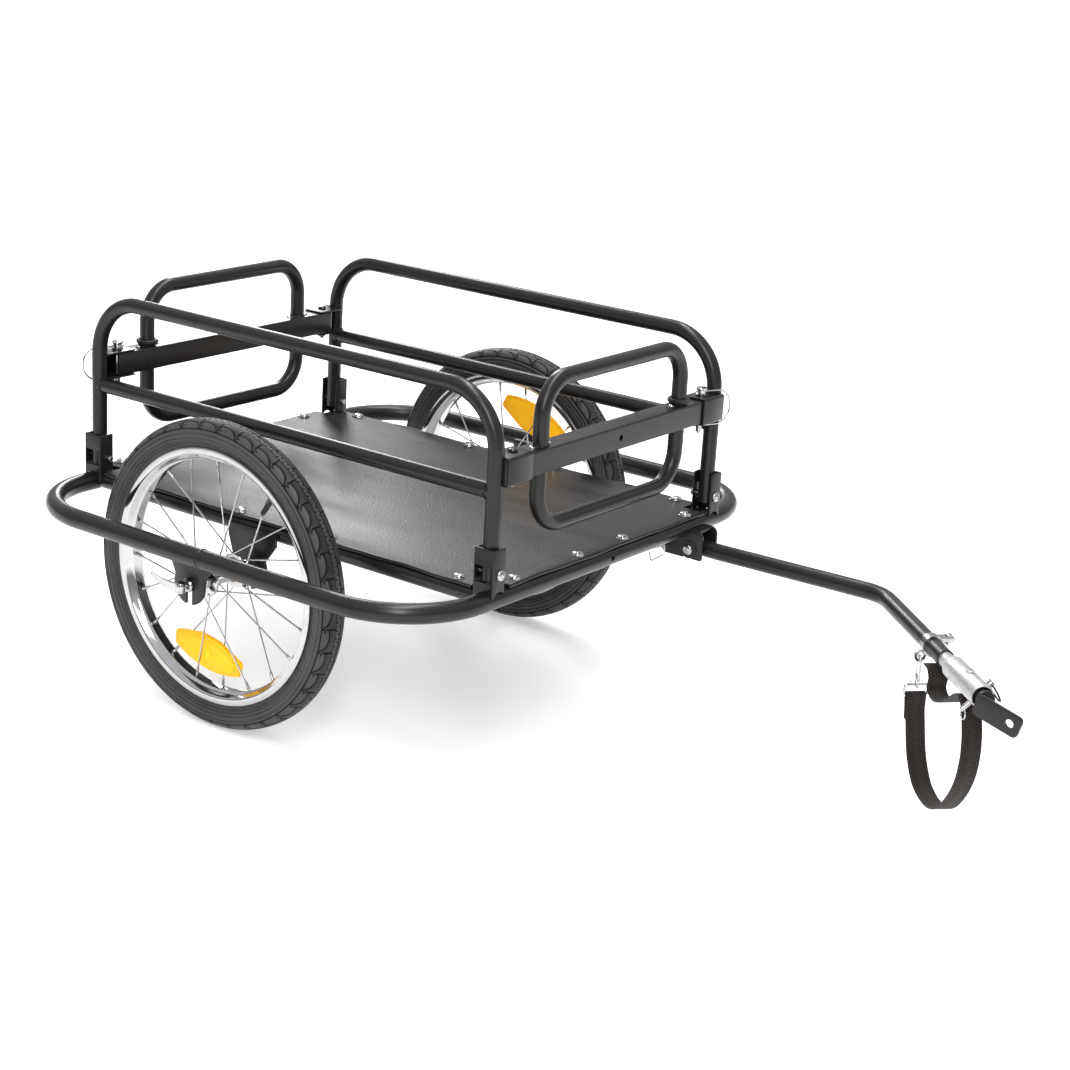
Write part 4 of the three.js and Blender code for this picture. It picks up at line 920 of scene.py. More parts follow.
def upright(outline: Sequence[Pair], from_y: float, to_y: float) -> Shape:
    """A plate whose outline is in X and Z, from one Y to another."""
    flat = prism(outline, min(from_y, to_y), max(from_y, to_y))
    return Shape([vec(v.x, v.z, v.y) for v in flat.verts], flat.faces)


def wire_ring(centre: Vector, axis: Vector, radius: float, wire: float, steps: int = 40) -> Shape:
    """A ring of wire about a centre."""
    place = aim(centre, axis)
    return tube([place @ vec(*p, 0) for p in circle(radius, steps)], wire / 2, 12, closed=True)


def bead(centre: Vector, axis: Vector, radius: float, size: float) -> Shape:
    """A weld bead round a joint, with the ripples that the welder's steps leave.

    Args:
        centre: The joint's middle.
        axis: The direction that the bead runs round.
        radius: The bead's distance from the middle.
        size: The bead's own radius.

    Returns:
        The bead.
    """
    ripples, wide, high = 18, 0.35, 0.25
    place = aim(centre, axis)
    steps = 4 * ripples
    line = []
    for k in range(steps):
        a = FULL_TURN * k / steps
        r = radius + wide * math.sin(a * ripples)
        line.append(place @ vec(r * math.cos(a), r * math.sin(a), high * math.cos(a * ripples)))
    return tube(line, size, 8, closed=True)


# Objects


def placed(name: str, data: bpy.types.ID) -> bpy.types.Object:
    """Makes an object of a mesh, camera or light, and puts it into the scene."""
    made = bpy.data.objects.new(name, data)
    bpy.context.scene.collection.objects.link(made)
    return made


def mesh_of(name: str, shape: Shape) -> bpy.types.Mesh:
    """Makes a mesh in metres, in the row's frame, with its faces turned outward.

    Args:
        name: The mesh's name.
        shape: Its surface in the trailer's frame.

    Returns:
        The mesh.
    """
    mesh = bpy.data.meshes.new(name)
    mesh.from_pydata([TRAILER @ v for v in shape.verts], [], shape.faces)
    mesh.validate()
    work = bmesh.new()
    work.from_mesh(mesh)
    bmesh.ops.recalc_face_normals(work, faces=work.faces)
    work.to_mesh(mesh)
    work.free()
    return mesh


def drill(target: bpy.types.Object, cutters: Sequence[Shape]) -> None:
    """Cuts shapes out of an object's mesh.

    Args:
        target: The object.
        cutters: The shapes, in the trailer's frame.
    """
    for shape in cutters:
        tool = placed("cutter", mesh_of("cutter", shape))
        cut = target.modifiers.new("cut", "BOOLEAN")
        cut.operation = "DIFFERENCE"
        cut.solver = "EXACT"
        cut.object = tool
        bpy.context.view_layer.update()
        evaluated = target.evaluated_get(bpy.context.evaluated_depsgraph_get())
        result = bpy.data.meshes.new_from_object(evaluated)
        target.modifiers.clear()
        target.data = result
        bpy.data.objects.remove(tool)


def piece(
    name: str,
    shape: Shape,
    finish: Finish,
    body: str,
    nodes: Sequence[str] = (),
    cutters: Sequence[Shape] = (),
    smooth: float = SHARP,
) -> bpy.types.Object:
    """Makes an object of a shape, dresses it and lets it ride on a body.

    Args:
        name: The object's name.
        shape: Its surface in the trailer's frame.
        finish: Its finish.
        body: The body that it rides on.
        nodes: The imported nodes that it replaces.
        cutters: Shapes that are cut out of it.
        smooth: Edges sharper than this stay sharp.

    Returns:
        The object.
    """
    made = placed(name, mesh_of(name, shape))
    drill(made, cutters)
    made.data.materials.clear()
    made.data.materials.append(finish.material())
    made.data.shade_smooth()
    made.data.set_sharp_from_angle(angle=smooth)
    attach(made, body)
    if nodes:
        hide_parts(*nodes)
    return made


def chart(target: bpy.types.Object, places: Sequence[Pair], period: float = 0.0) -> None:
    """Gives an object a map.

    Args:
        target: The object.
        places: A (U, V) pair for each vertex.
        period: Where U starts again, or 0.
    """
    layer = target.data.uv_layers.new(name="UVMap")
    for face in target.data.polygons:
        corners = {i: places[target.data.loops[i].vertex_index] for i in face.loop_indices}
        us = [u for u, _ in corners.values()]
        wraps = period and max(us) - min(us) > period / 2
        for i, (u, v) in corners.items():
            layer.data[i].uv = (u + period if wraps and u < period / 2 else u, v)


# Sub-assemblies


@dataclass
class BaseFrame:
    """The ring round the wheels, the deck rails and the wheel plates."""

    half_width: float = 373.0
    bend: float = 117.0
    seam: float = 42.0
    lamp_hole: float = 7.0
    seam_bead: Pair = (12.1, 1.3)
    rail_gap: float = 4.0
    sheet: float = 4.0
    sheet_edge: float = 0.7
    plate_back: float = -36.0
    plate_front: float = 46.0
    inner_plate: float = 244.3
    inner_lobe: float = 30.0
    inner_top: float = 253.0
    outer_plate: float = 348.9
    outer_lobe: float = 26.0
    outer_top: float = 251.0
    lobe_ends: Pair = (158.0, 382.0)
    slot_half: float = 5.3
    slot_foot: float = 150.0
    hem_front: float = 37.0
    hem_foot: float = 240.0
    hem_reach: float = 360.2

    def build(self) -> None:
        """Builds the ring, the rails and the plates."""
        self.ring()
        for side in Side:
            self.rail(side)
            self.dropout(side, "inner", self.inner_plate, self.inner_lobe, self.inner_top)
            self.dropout(side, "outer", self.outer_plate, self.outer_lobe, self.outer_top)
            self.hem(side)

    def ring(self) -> None:
        """Builds the ring of tube, with its two butt welds and the lamp's hole."""
        front, rear, height = PLAN.ring_front, PLAN.ring_rear, PLAN.ring_height
        places = ((self.seam, -1), (front, -1), (front, 1), (self.seam, 1), (rear, 1), (rear, -1))
        corners = [vec(x, way * self.half_width, height) for x, way in places]
        shape = tube(bent(corners, self.bend, 20, closed=True), PLAN.ring_tube / 2, 36, closed=True)
        nose = vec(front, 0, height)
        hole = rod(nose, nose + FORWARD * OVERRUN, self.lamp_hole / 2)
        piece("ring_tube", shape, POWDER, "chassis", ["frame_ring"], [hole])
        welds = Shape()
        for side in Side:
            welds.add(bead(vec(self.seam, side.value * self.half_width, height), FORWARD, *self.seam_bead))
        piece("ring_welds", welds, POWDER, "chassis")

    def rail(self, side: Side) -> None:
        """Builds a deck rail, from the ring's rear tube to its front one.

        Args:
            side: The rail's side.
        """
        y, z = side.value * PLAN.rail_offset, PLAN.rail_height
        line = [vec(PLAN.ring_rear + self.rail_gap, y, z), vec(PLAN.ring_front - self.rail_gap, y, z)]
        name = f"rail_tube_{side.label}"
        piece(name, tube(line, PLAN.rail_tube / 2), POWDER, "chassis", [f"deck_rail_{side.label}"])

    def dropout(self, side: Side, row: str, offset: float, lobe: float, top: float) -> None:
        """Builds a slotted wheel plate: a wide top, and a round lobe about the axle.

        Args:
            side: The wheel's side.
            row: Which of the wheel's two plates this is, inner or outer.
            offset: The plate's face nearest the trailer's middle.
            lobe: The lobe's radius.
            top: The height of the plate's top.
        """
        s, waist = side.value, PLAN.ring_height - PLAN.ring_tube / 2
        back, front = self.plate_back, self.plate_front
        round_axle = arc(0, PLAN.axle_height, lobe, *self.lobe_ends, 24)
        outline = [(back, top), (back, waist), *round_axle, (front, waist), (front, top)]
        shape = upright(outline, s * offset, s * (offset + self.sheet)).bevelled(self.sheet_edge)
        half, foot = self.slot_half, self.slot_foot
        slot_outline = [*arc(0, PLAN.axle_height, half, 180, 0, 10), (half, foot), (-half, foot)]
        slot = upright(slot_outline, s * offset - OVERRUN, s * offset + OVERRUN)
        name = f"{row}_plate_{side.label}"
        piece(name, shape, POWDER, "chassis", [f"{row}_dropout_{side.label}"], [slot])

    def hem(self, side: Side) -> None:
        """Builds the hem that turns an outer plate's top outward, under the ring.

        Args:
            side: The plate's side.
        """
        start = vec(self.plate_back, side.value * (self.outer_plate + self.sheet - 1), self.hem_foot)
        end = vec(self.hem_front, side.value * self.hem_reach, self.outer_top)
        piece(f"outer_hem_{side.label}", block(start, end).bevelled(1.5, 3), POWDER, "chassis")


@dataclass
class Deck:
    """The board, its hemmed edges and its screws."""

    underside: float = 260.8
    sheet: float = 3.0
    corner: float = 22.0
    lip: float = 9.0
    hem: float = 2.2
    hem_rise: float = 0.9
    hem_steps: int = 60
    waves: tuple[tuple[float, float, float], ...] = ((0.7, 31.0, 0.0), (0.4, 13.0, 1.0))
    washer: tuple[Pair, ...] = ((0, 0), (8.6, 0), (8.6, 0.7), (8.0, 1.1), (0, 1.1))
    screw_head: tuple[float, float, float] = (7.6, 3.9, 0.8)
    front_shares: tuple[float, ...] = (-0.81, -0.26, 0.16, 0.78)
    rear_shares: tuple[float, ...] = (-0.82, 0.74)
    side_shares: tuple[float, ...] = (-0.82, -0.1, 0.33, 0.87)

    def build(self) -> None:
        """Builds the board, its hems and its screws."""
        top = self.underside + self.sheet
        board = prism(self.outline(), self.underside, top).bevelled(0.8)
        piece("deck_panel", board, BOARD, "chassis", ["deck_board"])
        self.hems()
        heads, washers = Shape(), Shape()
        for x, y in self.screws():
            washers.add(spun(self.washer, vec(x, y, top), UP))
            heads.add(spun(domed(*self.screw_head), vec(x, y, top + self.washer[-1][1]), UP))
        piece("deck_screws", heads, CHROME, "chassis")
        piece("deck_washers", washers, ZINC, "chassis")

    def outline(self) -> list[Pair]:
        """The board's outline, cut back round the four sockets.

        Returns:
            Its points.
        """
        c, lip, side = self.corner, self.lip, PLAN.rail_offset
        rear, front = PLAN.ring_rear, PLAN.ring_front
        near = [(rear - lip, c - side), (rear + c, c - side), (rear + c, -side - lip)]
        near += [(front - c, -side - lip), (front - c, c - side), (front + lip, c - side)]
        return [*near, *((x, -y) for x, y in reversed(near))]

    def hems(self) -> None:
        """Builds the hems along the board's four edges."""
        half = PLAN.rail_offset - self.corner
        hems = Shape()
        for end in (End.FRONT, End.REAR):
            x = PLAN.ring_x(end) + end.value * self.lip
            hems.add(tube([vec(x, run, z) for run, z in self.rim_line(-half, half)], self.hem, 12))
        rim = self.rim_line(PLAN.ring_rear + self.corner, PLAN.ring_front - self.corner)
        for side in Side:
            y = side.value * (PLAN.rail_offset + self.lip)
            hems.add(tube([vec(run, y, z) for run, z in rim], self.hem, 12))
        piece("deck_hems", hems, POWDER, "chassis")

    def rim_line(self, start: float, stop: float) -> list[Pair]:
        """A hem's line, which waves a little.

        Args:
            start: Where the hem starts along its edge.
            stop: Where it ends.

        Returns:
            Its places along the edge, with their heights.
        """
        line = []
        for k in range(self.hem_steps + 1):
            run = start + (stop - start) * k / self.hem_steps
            wave = sum(height * math.sin(run / length + shift) for height, length, shift in self.waves)
            line.append((run, self.underside + self.hem_rise + wave))
        return line

    def screws(self) -> list[Pair]:
        """Where the screws stand.

        Returns:
            Their places in X and Y.
        """
        front, rear, side = PLAN.ring_front, PLAN.ring_rear, PLAN.rail_offset
        places = [(front, share * side) for share in self.front_shares]
        places += [(rear, share * side) for share in self.rear_shares]
        for share in self.side_shares:
            x = share * front if share > 0 else -share * rear
            places += [(x, -side), (x, side)]
        return places


@dataclass(frozen=True)
class Bolt:
    """A domed bolt with its nut and two spacers, by distances from its middle towards its head.

    Attributes:
        head: A head's radius, height and skirt.
        head_foot: Where the head sits.
        shank: The shank's two ends.
        nut: The nut's two faces.
        spacer: A spacer's two faces, the same to either side.
        steps: The shank's sides.
    """

    head: tuple[float, float, float]
    head_foot: float
    shank: Pair
    nut: Pair
    spacer: Pair
    steps: int = 24
    radius: float = 4.0
    nut_radius: float = 7.5
    spacer_radius: float = 7.0
    chamfer: float = 0.6

    def shape(self, middle: Vector, out: Vector) -> Shape:
        """Builds the bolt.

        Args:
            middle: The point that the distances count from.
            out: The direction towards the head.

        Returns:
            The bolt, the nut and the spacers.
        """
        made = spun(domed(*self.head), middle + out * self.head_foot, out)
        low, high = self.shank
        made.add(rod(middle + out * low, middle + out * high, self.radius, self.steps, self.chamfer))
        low, high = self.nut
        made.add(rod(middle + out * low, middle + out * high, self.nut_radius, 6, self.chamfer))
        return made.add(*spacers(middle, out, self.spacer, self.spacer_radius))


def spacers(middle: Vector, out: Vector, faces: Pair, radius: float) -> list[Shape]:
    """Two spacers, one to either side of a middle."""
    low, high = faces
    return [rod(middle + out * way * low, middle + out * way * high, radius) for way in (1, -1)]


@dataclass
class Post:
    """A socket with its folding post's bolt, at one corner of the deck."""

    end: End
    side: Side
    half_length: float = 15.0
    mouth_half: float = 12.5
    inner: float = 10.0
    web: float = 10.8
    outer: float = 13.3
    foot: float = 250.0
    top: float = 313.0
    window_foot: float = 271.0
    window_top: float = 292.0
    cut_reach: float = 10.0
    ring_room: float = 12.9
    rail_room: float = 11.4
    bolt_height: float = 281.0
    recess_foot: float = 17.6
    bolt: Bolt = Bolt((7.0, 4.6, 1.2), 15.3, (-22.0, 15.0), (-21.6, -15.3), (10.3, 12.2), steps=20)

    def build(self) -> None:
        """Builds the socket and its bolt."""
        name = f"{self.end.label}_{self.side.label}"
        x, offset = PLAN.post_x(self.end), PLAN.rail_offset

        def box(half: float, near: float, low: float, far: float, high: float) -> Shape:
            """A box about the post, by its half length and its reach from the post's middle."""
            s = self.side.value
            return block(vec(x - half, s * (offset + near), low), vec(x + half, s * (offset + far), high))

        mouth, reach = self.mouth_half, self.cut_reach
        channel = box(self.half_length, -self.inner, self.foot, self.outer, self.top).bevelled(1.6, 3)
        inside = box(mouth, -self.inner - reach, self.foot - reach, self.web, self.top + reach)
        window = box(mouth, self.web - 2, self.window_foot, self.outer + reach, self.window_top)
        ring_middle = vec(PLAN.ring_x(self.end), 0, PLAN.ring_height)
        ring = rod(ring_middle + RIGHT * LONG_CUT, ring_middle - RIGHT * LONG_CUT, self.ring_room, 40)
        rail_middle = vec(0, self.side.value * offset, PLAN.rail_height)
        rail = rod(rail_middle - FORWARD * LONG_CUT, rail_middle + FORWARD * LONG_CUT, self.rail_room, 40)
        cutters = [inside, window, ring, rail]
        piece(f"folding_socket_{name}", channel, POWDER, "chassis", [f"socket_{name}"], cutters)
        middle = vec(x, self.side.value * offset, self.bolt_height)
        out = FORWARD * self.end.value
        recess = prism(circle(3.0, 6), 0, 4).moved(aim(middle + out * self.recess_foot, out))
        piece(f"bolt_{name}", self.bolt.shape(middle, out), ZINC, "chassis", [f"pivot_bolt_{name}"], [recess])


@dataclass
class Hoop:
    """A side hoop with its mid rail and its two saddles."""

    side: Side
    top: float = 496.5
    bend: float = 72.0
    mid: float = 380.0
    foot: float = 272.0
    bead_inset: float = 9.2
    rail_bead: Pair = (10.2, 1.2)
    saddle_sheet: float = 2.5
    saddle_fold: float = 3.6
    saddle_back: float = -15.0
    saddle_reach: float = 17.8
    saddle_ends: Pair = (184.0, 231.0)
    cheek_back: float = 6.0
    cheek_inset: float = 0.4

    def build(self) -> None:
        """Builds the hoop as one piece of welded tube, and its saddles."""
        y, radius = self.side.value * PLAN.rail_offset, PLAN.post_tube / 2
        rear, front = PLAN.post_x(End.REAR), PLAN.post_x(End.FRONT)
        places = ((rear, self.foot), (rear, self.top), (front, self.top), (front, self.foot))
        shape = tube(bent([vec(x, y, z) for x, z in places], self.bend, 18), radius, 32)
        shape.add(tube([vec(rear, y, self.mid), vec(front, y, self.mid)], radius, 32))
        for x, way in ((rear, 1), (front, -1)):
            shape.add(bead(vec(x + way * self.bead_inset, y, self.mid), FORWARD, *self.rail_bead))
        label = self.side.label
        piece(f"hoop_tube_{label}", shape, POWDER, "chassis", [f"hoop_{label}"])
        for end in End:
            self.saddle(end)

    def saddle(self, end: End) -> None:
        """Builds the folded sheet over, under and outside the gate bar's end, welded to the post.

        Args:
            end: The trailer's end that the gate closes.
        """
        low, high, sheet, back = PLAN.saddle_floor, PLAN.saddle_top, self.saddle_sheet, self.saddle_back
        fold = self.saddle_fold
        middle = self.saddle_reach - fold

        def bend(radius: float, steps: int) -> list[Pair]:
            """The sheet's two folds, from above the bar to under it."""
            upper = arc(middle, high - fold, radius, 90, 0, steps)
            return [*upper, *arc(middle, low + fold, radius, 0, -90, steps)]

        outer = [(back, high), *bend(fold, 6), (back, low)]
        inner = [(back, high - sheet), *bend(fold - sheet, 4), (back, low + sheet)]
        x, way, s = PLAN.post_x(end), end.value, self.side.value
        outline = [(x + way * u, z) for u, z in (*outer, *reversed(inner))]
        inner_end, outer_end = self.saddle_ends
        body = upright(outline, s * inner_end, s * outer_end).bevelled(0.5, 2)
        cheek_foot = vec(x + way * self.cheek_back, s * (outer_end - sheet), low + 1)
        cheek_top = vec(x + way * (self.saddle_reach - self.cheek_inset), s * outer_end, high - 1)
        body.add(block(cheek_foot, cheek_top).bevelled(0.6))
        piece(f"gate_saddle_{end.label}_{self.side.label}", body, POWDER, "chassis")


@dataclass
class Gate:
    """An end gate: a square bar, two bows of tube, and its lock pin with its bail."""

    end: End
    bar: float = 30.0
    wall: float = 2.0
    height: float = 405.0
    half_length: float = 213.0
    half_width: float = 148.0
    top: float = 498.0
    bottom: float = 316.0
    bend: float = 45.0
    pin_offset: float = 202.0
    leg_bead: Pair = (10.0, 1.3)
    lamp_hole: float = 7.6
    end_radius: float = 15.0
    notch: float = 9.2
    rivet: tuple[float, float, float] = (4.2, 2.4, 0.4)
    rivet_gap: float = 16.0
    collar: tuple[Pair, ...] = ((10.2, 0), (13.2, 0), (14.6, 2.2), (14.6, 5.2), (12.8, 6.4), (10.2, 6.4))
    collar_rise: float = 2.6
    knob: tuple[Pair, ...] = (
        (0, 0), (7.2, 0), (7.6, 0.6), (7.6, 1.8), (5.6, 2.8), (5.6, 6.4), (7.4, 7.4), (7.6, 9.2), (6.4, 10.6),
        (3, 11.2), (0, 11.3),
    )
    bail_wire: float = 1.2
    bail_bend: float = 22.0
    bail_drop: float = 5.0

    @property
    def hinge(self) -> Side:
        """The side on which the gate swings."""
        return Side.RIGHT if self.end is End.FRONT else Side.LEFT

    @property
    def lock(self) -> Side:
        """The side on which the gate is pinned."""
        return Side.LEFT if self.end is End.FRONT else Side.RIGHT

    @property
    def label(self) -> str:
        """The gate's name in node names."""
        return self.end.label

    @property
    def body(self) -> str:
        """The body that the gate is."""
        return f"gate_{self.label}"

    def at(self, y: float, z: float, out: float = 0.0) -> Vector:
        """A point of the gate, by its side, its height and how far it stands out from the gate."""
        return vec(PLAN.post_x(self.end) + self.end.value * out, y, z)

    def build(self) -> None:
        """Builds the gate and what hangs on it."""
        self.square_bar()
        self.bows()
        self.fittings()
        self.hinge_bolt()
        self.lock_pin()
        self.bail()

    def square_bar(self) -> None:
        """Builds the hollow bar with its lamp's hole and what its ends lose."""

        def run(half: float, reach: float, corner: float) -> Shape:
            """A straight bar of a half width, that reaches to either side."""
            line = [self.at(-reach, self.height), self.at(reach, self.height)]
            return sweep(line, rounded_box(half, half, corner))

        half = self.bar / 2
        bore = run(half - self.wall, self.half_length + self.wall, 1.2)
        hole = rod(self.at(0, self.height, half / 3), self.at(0, self.height, half + 5), self.lamp_hole / 2)
        cutters = [bore, hole, *self.end_cuts()]
        name = f"gate_bar_{self.label}"
        piece(name, run(half, self.half_length, 2.2), POWDER, self.body, [self.body], cutters)

    def end_cuts(self) -> list[Shape]:
        """What the bar loses at its ends: its corners past the hinge bolt, and a notch at the lock pin.

        Returns:
            The shapes that are cut out.
        """
        low, high = self.height - self.bar, self.height + self.bar
        x, s, radius, tip = PLAN.post_x(self.end), self.hinge.value, self.end_radius, self.half_length + 3
        cuts = []
        for way in (1, -1):
            corner = arc(0, self.pin_offset, radius, 0, 47, 8)
            corner += [(radius - 6, tip), (radius + 3, tip), (radius + 3, self.pin_offset)]
            cuts.append(prism([(x + way * u, s * v) for u, v in corner], low, high))
        y, half = self.lock.value * self.pin_offset, self.notch / 2
        cuts.append(block(self.at(y - half, low), self.at(y + half, high, self.bar)))
        return cuts

    def bows(self) -> None:
        """Builds the two bows of tube, welded to the bar."""
        bows = Shape()
        half = self.bar / 2
        for way, crest in ((1, self.top), (-1, self.bottom)):
            root = self.height + way * (half - 1)
            places = ((-1, root), (-1, crest), (1, crest), (1, root))
            corners = [self.at(side * self.half_width, z) for side, z in places]
            bows.add(tube(bent(corners, self.bend, 16), PLAN.post_tube / 2, 32))
            for side in (-1, 1):
                bows.add(bead(self.at(side * self.half_width, root + way * 1.2), UP, *self.leg_bead))
        piece(f"gate_bows_{self.label}", bows, POWDER, self.body)

    def fittings(self) -> None:
        """Builds the rivets beside the bows' legs, and the rubber collar on the leg next to the lock pin."""
        face = self.height + self.bar / 2
        rivets = Shape()
        for side in (-1, 1):
            for way in (-1, 1):
                foot = self.at(side * self.half_width + way * self.rivet_gap, face)
                rivets.add(spun(domed(*self.rivet), foot, UP, 16))
        piece(f"gate_rivets_{self.label}", rivets, CHROME, self.body)
        tab = block(vec(-5, 12, 0.6), vec(5, 21, 5.0)).bevelled(1.4, 3)
        collar = lathe(self.collar, 36, closed=True).add(tab.moved(Matrix.Rotation(math.radians(35), 4, "Z")))
        place = Matrix.Translation(self.at(self.lock.value * self.half_width, face + self.collar_rise))
        piece(f"gate_collar_{self.label}", collar.moved(place), RUBBER, self.body)

    def hinge_bolt(self) -> None:
        """Builds the bolt that the gate swings on, with its nut."""
        y = self.hinge.value * self.pin_offset
        floor, top = PLAN.saddle_floor, PLAN.saddle_top
        shape = rod(self.at(y, floor - 7.5), self.at(y, top), 3.0, 20, 0.6)
        shape.add(spun(domed(6.0, 3.8, 0.8), self.at(y, top + 0.3), UP))
        piece(f"hinge_bolt_{self.label}", shape, POWDER, "chassis", [f"gate_bolt_{self.label}"])
        nut = rod(self.at(y, floor - 5.3), self.at(y, floor - 0.3), 5.75, 6, 0.6)
        nut.add(spun(domed(3.6, 2.2, 0.6), self.at(y, floor - 5.3), -UP, 16))
        piece(f"hinge_nut_{self.label}", nut, ZINC, "chassis")

    def lock_pin(self) -> None:
        """Builds the lock pin with its waisted head."""
        y = self.lock.value * self.pin_offset
        foot, head_foot = PLAN.saddle_floor - 15, PLAN.saddle_top + 0.3
        reach = head_foot - foot
        shank = spun([(0, 0), (1.8, 0), (4, 3.6), (4, reach), (0, reach)], self.at(y, foot), UP)
        piece(f"pin_shank_{self.label}", shank, ZINC, f"lock_{self.label}")
        knob = spun(self.knob, self.at(y, head_foot), UP, 28)
        piece(f"pin_knob_{self.label}", knob, CHROME, f"lock_{self.label}", [f"lock_pin_{self.label}"])

    def bail(self) -> None:
        """Builds the wire bail that turns in the pin's head, passes the post and closes under the pin."""
        to_post = PLAN.rail_offset - self.pin_offset
        lean = math.asin((PLAN.post_tube / 2 + self.bail_wire + 0.4) / to_post)
        along = vec(self.end.value * math.sin(lean), self.lock.value * math.cos(lean), 0)
        root = self.at(self.lock.value * self.pin_offset, PLAN.saddle_top + 4.8)
        far = along * (to_post * math.cos(lean) + 19)
        down = -UP * (root.z - PLAN.saddle_floor + self.bail_drop)
        corners = [root - along * 9.5, root + far, root + far + down, root + along * 4.4 + down]
        wire = tube(bent(corners, self.bail_bend, 14), self.bail_wire, 12)
        piece(f"bail_{self.label}", wire, CHROME, f"bail_{self.label}", [f"lock_bail_{self.label}"])


@dataclass
class Wheel:
    """A spoked wheel with its tyre, reflector, valve and quick release."""

    side: Side
    radius: float = PLAN.axle_height
    offset: float = 298.6
    section: float = 41.0
    wall: float = 34.0
    crown_power: float = 0.82
    flank_power: float = 0.9
    bead_seat: float = 158.0
    rim_half: float = 16.5
    spokes: int = 20
    scallops: int = 39
    per_scale: int = 12
    groove: float = 0.8
    bar: float = 0.7
    line: float = 0.4
    left_turns: Pair = (-74.0, 108.0)
    right_turns: Pair = (96.0, -54.0)
    flange: float = 19.6
    flange_reach: float = 25.2
    crossing: float = 38.0
    spoke_end: float = 148.9
    spoke_wire: float = 1.05
    lens_turn: float = 3.5
    lens_half: float = 3.4
    lens_face: float = 4.1
    lever_reach: float = 68.9
    lever_rows: int = 22
    lever_sides: int = 16

    @property
    def turns(self) -> list[float]:
        """How far the lacing and the valve are turned, from +X towards -Z."""
        return [math.radians(a) for a in (self.left_turns if self.side is Side.LEFT else self.right_turns)]

    @property
    def label(self) -> str:
        """The wheel's name in node names."""
        return self.side.label

    @property
    def body(self) -> str:
        """The body that turns."""
        return f"wheel_{self.label}"

    @property
    def out(self) -> Vector:
        """The direction away from the trailer."""
        return vec(0, self.side.value, 0)

    def polar(self, radius: float, angle: float, y: float = 0.0) -> Vector:
        """A point of the wheel, by its angle from +X towards +Z."""
        x, up = radius * math.cos(angle), radius * math.sin(angle)
        return vec(x, self.side.value * self.offset + y, self.radius + up)

    def build(self) -> None:
        """Builds everything that the wheel is made of."""
        self.tyre()
        rim = lathe(self.rim_profile(), 144, closed=True).moved(self.place())
        piece(f"rim_band_{self.label}", rim, CHROME, self.body, [f"rim_{self.label}"], smooth=TURNED_SHARP)
        self.hub()
        self.lacing()
        self.reflector()
        self.valve()
        self.axle()
        self.lever()

    def place(self) -> Matrix:
        """The matrix from a shape turned about Z to the wheel's middle."""
        return Matrix.Translation(self.polar(0, 0)) @ Matrix.Rotation(-QUARTER, 4, "X")

    def tyre(self) -> None:
        """Builds the tyre, its shoulders cut with overlapping scales and its crown with short bars."""
        half, tall = self.section / 2, self.wall / 2
        rows = self.tread_rows()
        steps = self.scallops * self.per_scale
        shape, places = Shape(), []
        for i in range(steps):
            phase = i / self.per_scale
            for row in rows:
                c, s = math.cos(math.radians(row)), math.sin(math.radians(row))
                r = self.radius - tall + tall * math.copysign(abs(c) ** self.crown_power, c)
                y = half * math.copysign(abs(s) ** self.flank_power, s)
                if abs(row) > 135:
                    y = math.copysign(self.rim_half - 2.6, s)
                if abs(row) > 150:
                    r = self.bead_seat + 0.3
                depth = self.tread(phase, row)
                shape.verts.append(self.polar(r - depth * c, FULL_TURN * i / steps, y - depth * s))
                places.append((phase, row / 100))
        shape.joined(steps, len(rows), closed=True)
        name, node = f"tyre_carcass_{self.label}", f"tyre_{self.label}"
        carcass = piece(name, shape, RUBBER_TYRE, self.body, [node], smooth=TYRE_SHARP)
        chart(carcass, places, self.scallops)

    def tread_rows(self) -> list[float]:
        """The angles round the tyre's section at which its surface has points, in degrees.

        Returns:
            The angles, from one bead over the crown to the other.
        """
        crown, shoulder = [0, 5, 10, 14, 18, 21, 24], list(range(28, 73, 4))
        wall = [78, 84, 90, 98, 108, 118, 132, 146, 154]
        half = [*crown, *shoulder, *wall]
        return [-a for a in reversed(half[1:])] + half

    def tread(self, phase: float, angle: float) -> float:
        """How deep the tread is cut at a place.

        Args:
            phase: The place round the tyre, in scales.
            angle: The place round its section, in degrees from the crown.

        Returns:
            The cut's depth in millimetres.
        """
        out = abs(angle)
        phase += 0.5 if angle < 0 else 0.0
        if 6 < out < 11 or 66 < out < 74:
            return self.groove
        if out < 6:
            return self.bar if abs((phase * RUBBER_TYRE.bars) % 1.0 - 0.5) < 0.13 else 0.0
        return self.line if 86 < out < 92 or 106 < out < 110 else 0.0

    def rim_profile(self) -> list[Pair]:
        """The section of the rim's smooth channel.

        Returns:
            Its (radius, height) pairs, from one edge over the bed and back under it.
        """
        w = self.rim_half
        edge = [(165.7, 0.4 - w), (165.7, 2.0 - w), (158.5, 2.5 - w), (157.9, 3.2 - w)]
        bed = [*edge, (156, -7.5), (152.5, -6), (152, -4)]
        underside = [(164.9, w), (158.1, w), (156.1, w - 1.4), (153.9, 9.5), (149.9, 6.4), (149.5, 4)]
        return mirrored(bed) + mirrored(underside)

    def hub(self) -> None:
        """Builds the hub with its two flanges."""
        half = [
            (5.4, 33), (10, 33), (10.6, 32.4), (10.6, 27.6), (13, 27.2), (21.5, 27.0), (22, 26.4), (22, 24.2),
            (21.5, 23.6), (15, 23), (12.4, 21), (11.6, 17), (11.2, 8), (11.2, 0),
        ]
        shape = lathe(mirrored(half, 1), 48).moved(self.place())
        name, node = f"hub_shell_{self.label}", f"hub_spokes_{self.label}"
        piece(name, shape, CHROME, self.body, [node], smooth=TURNED_SHARP)

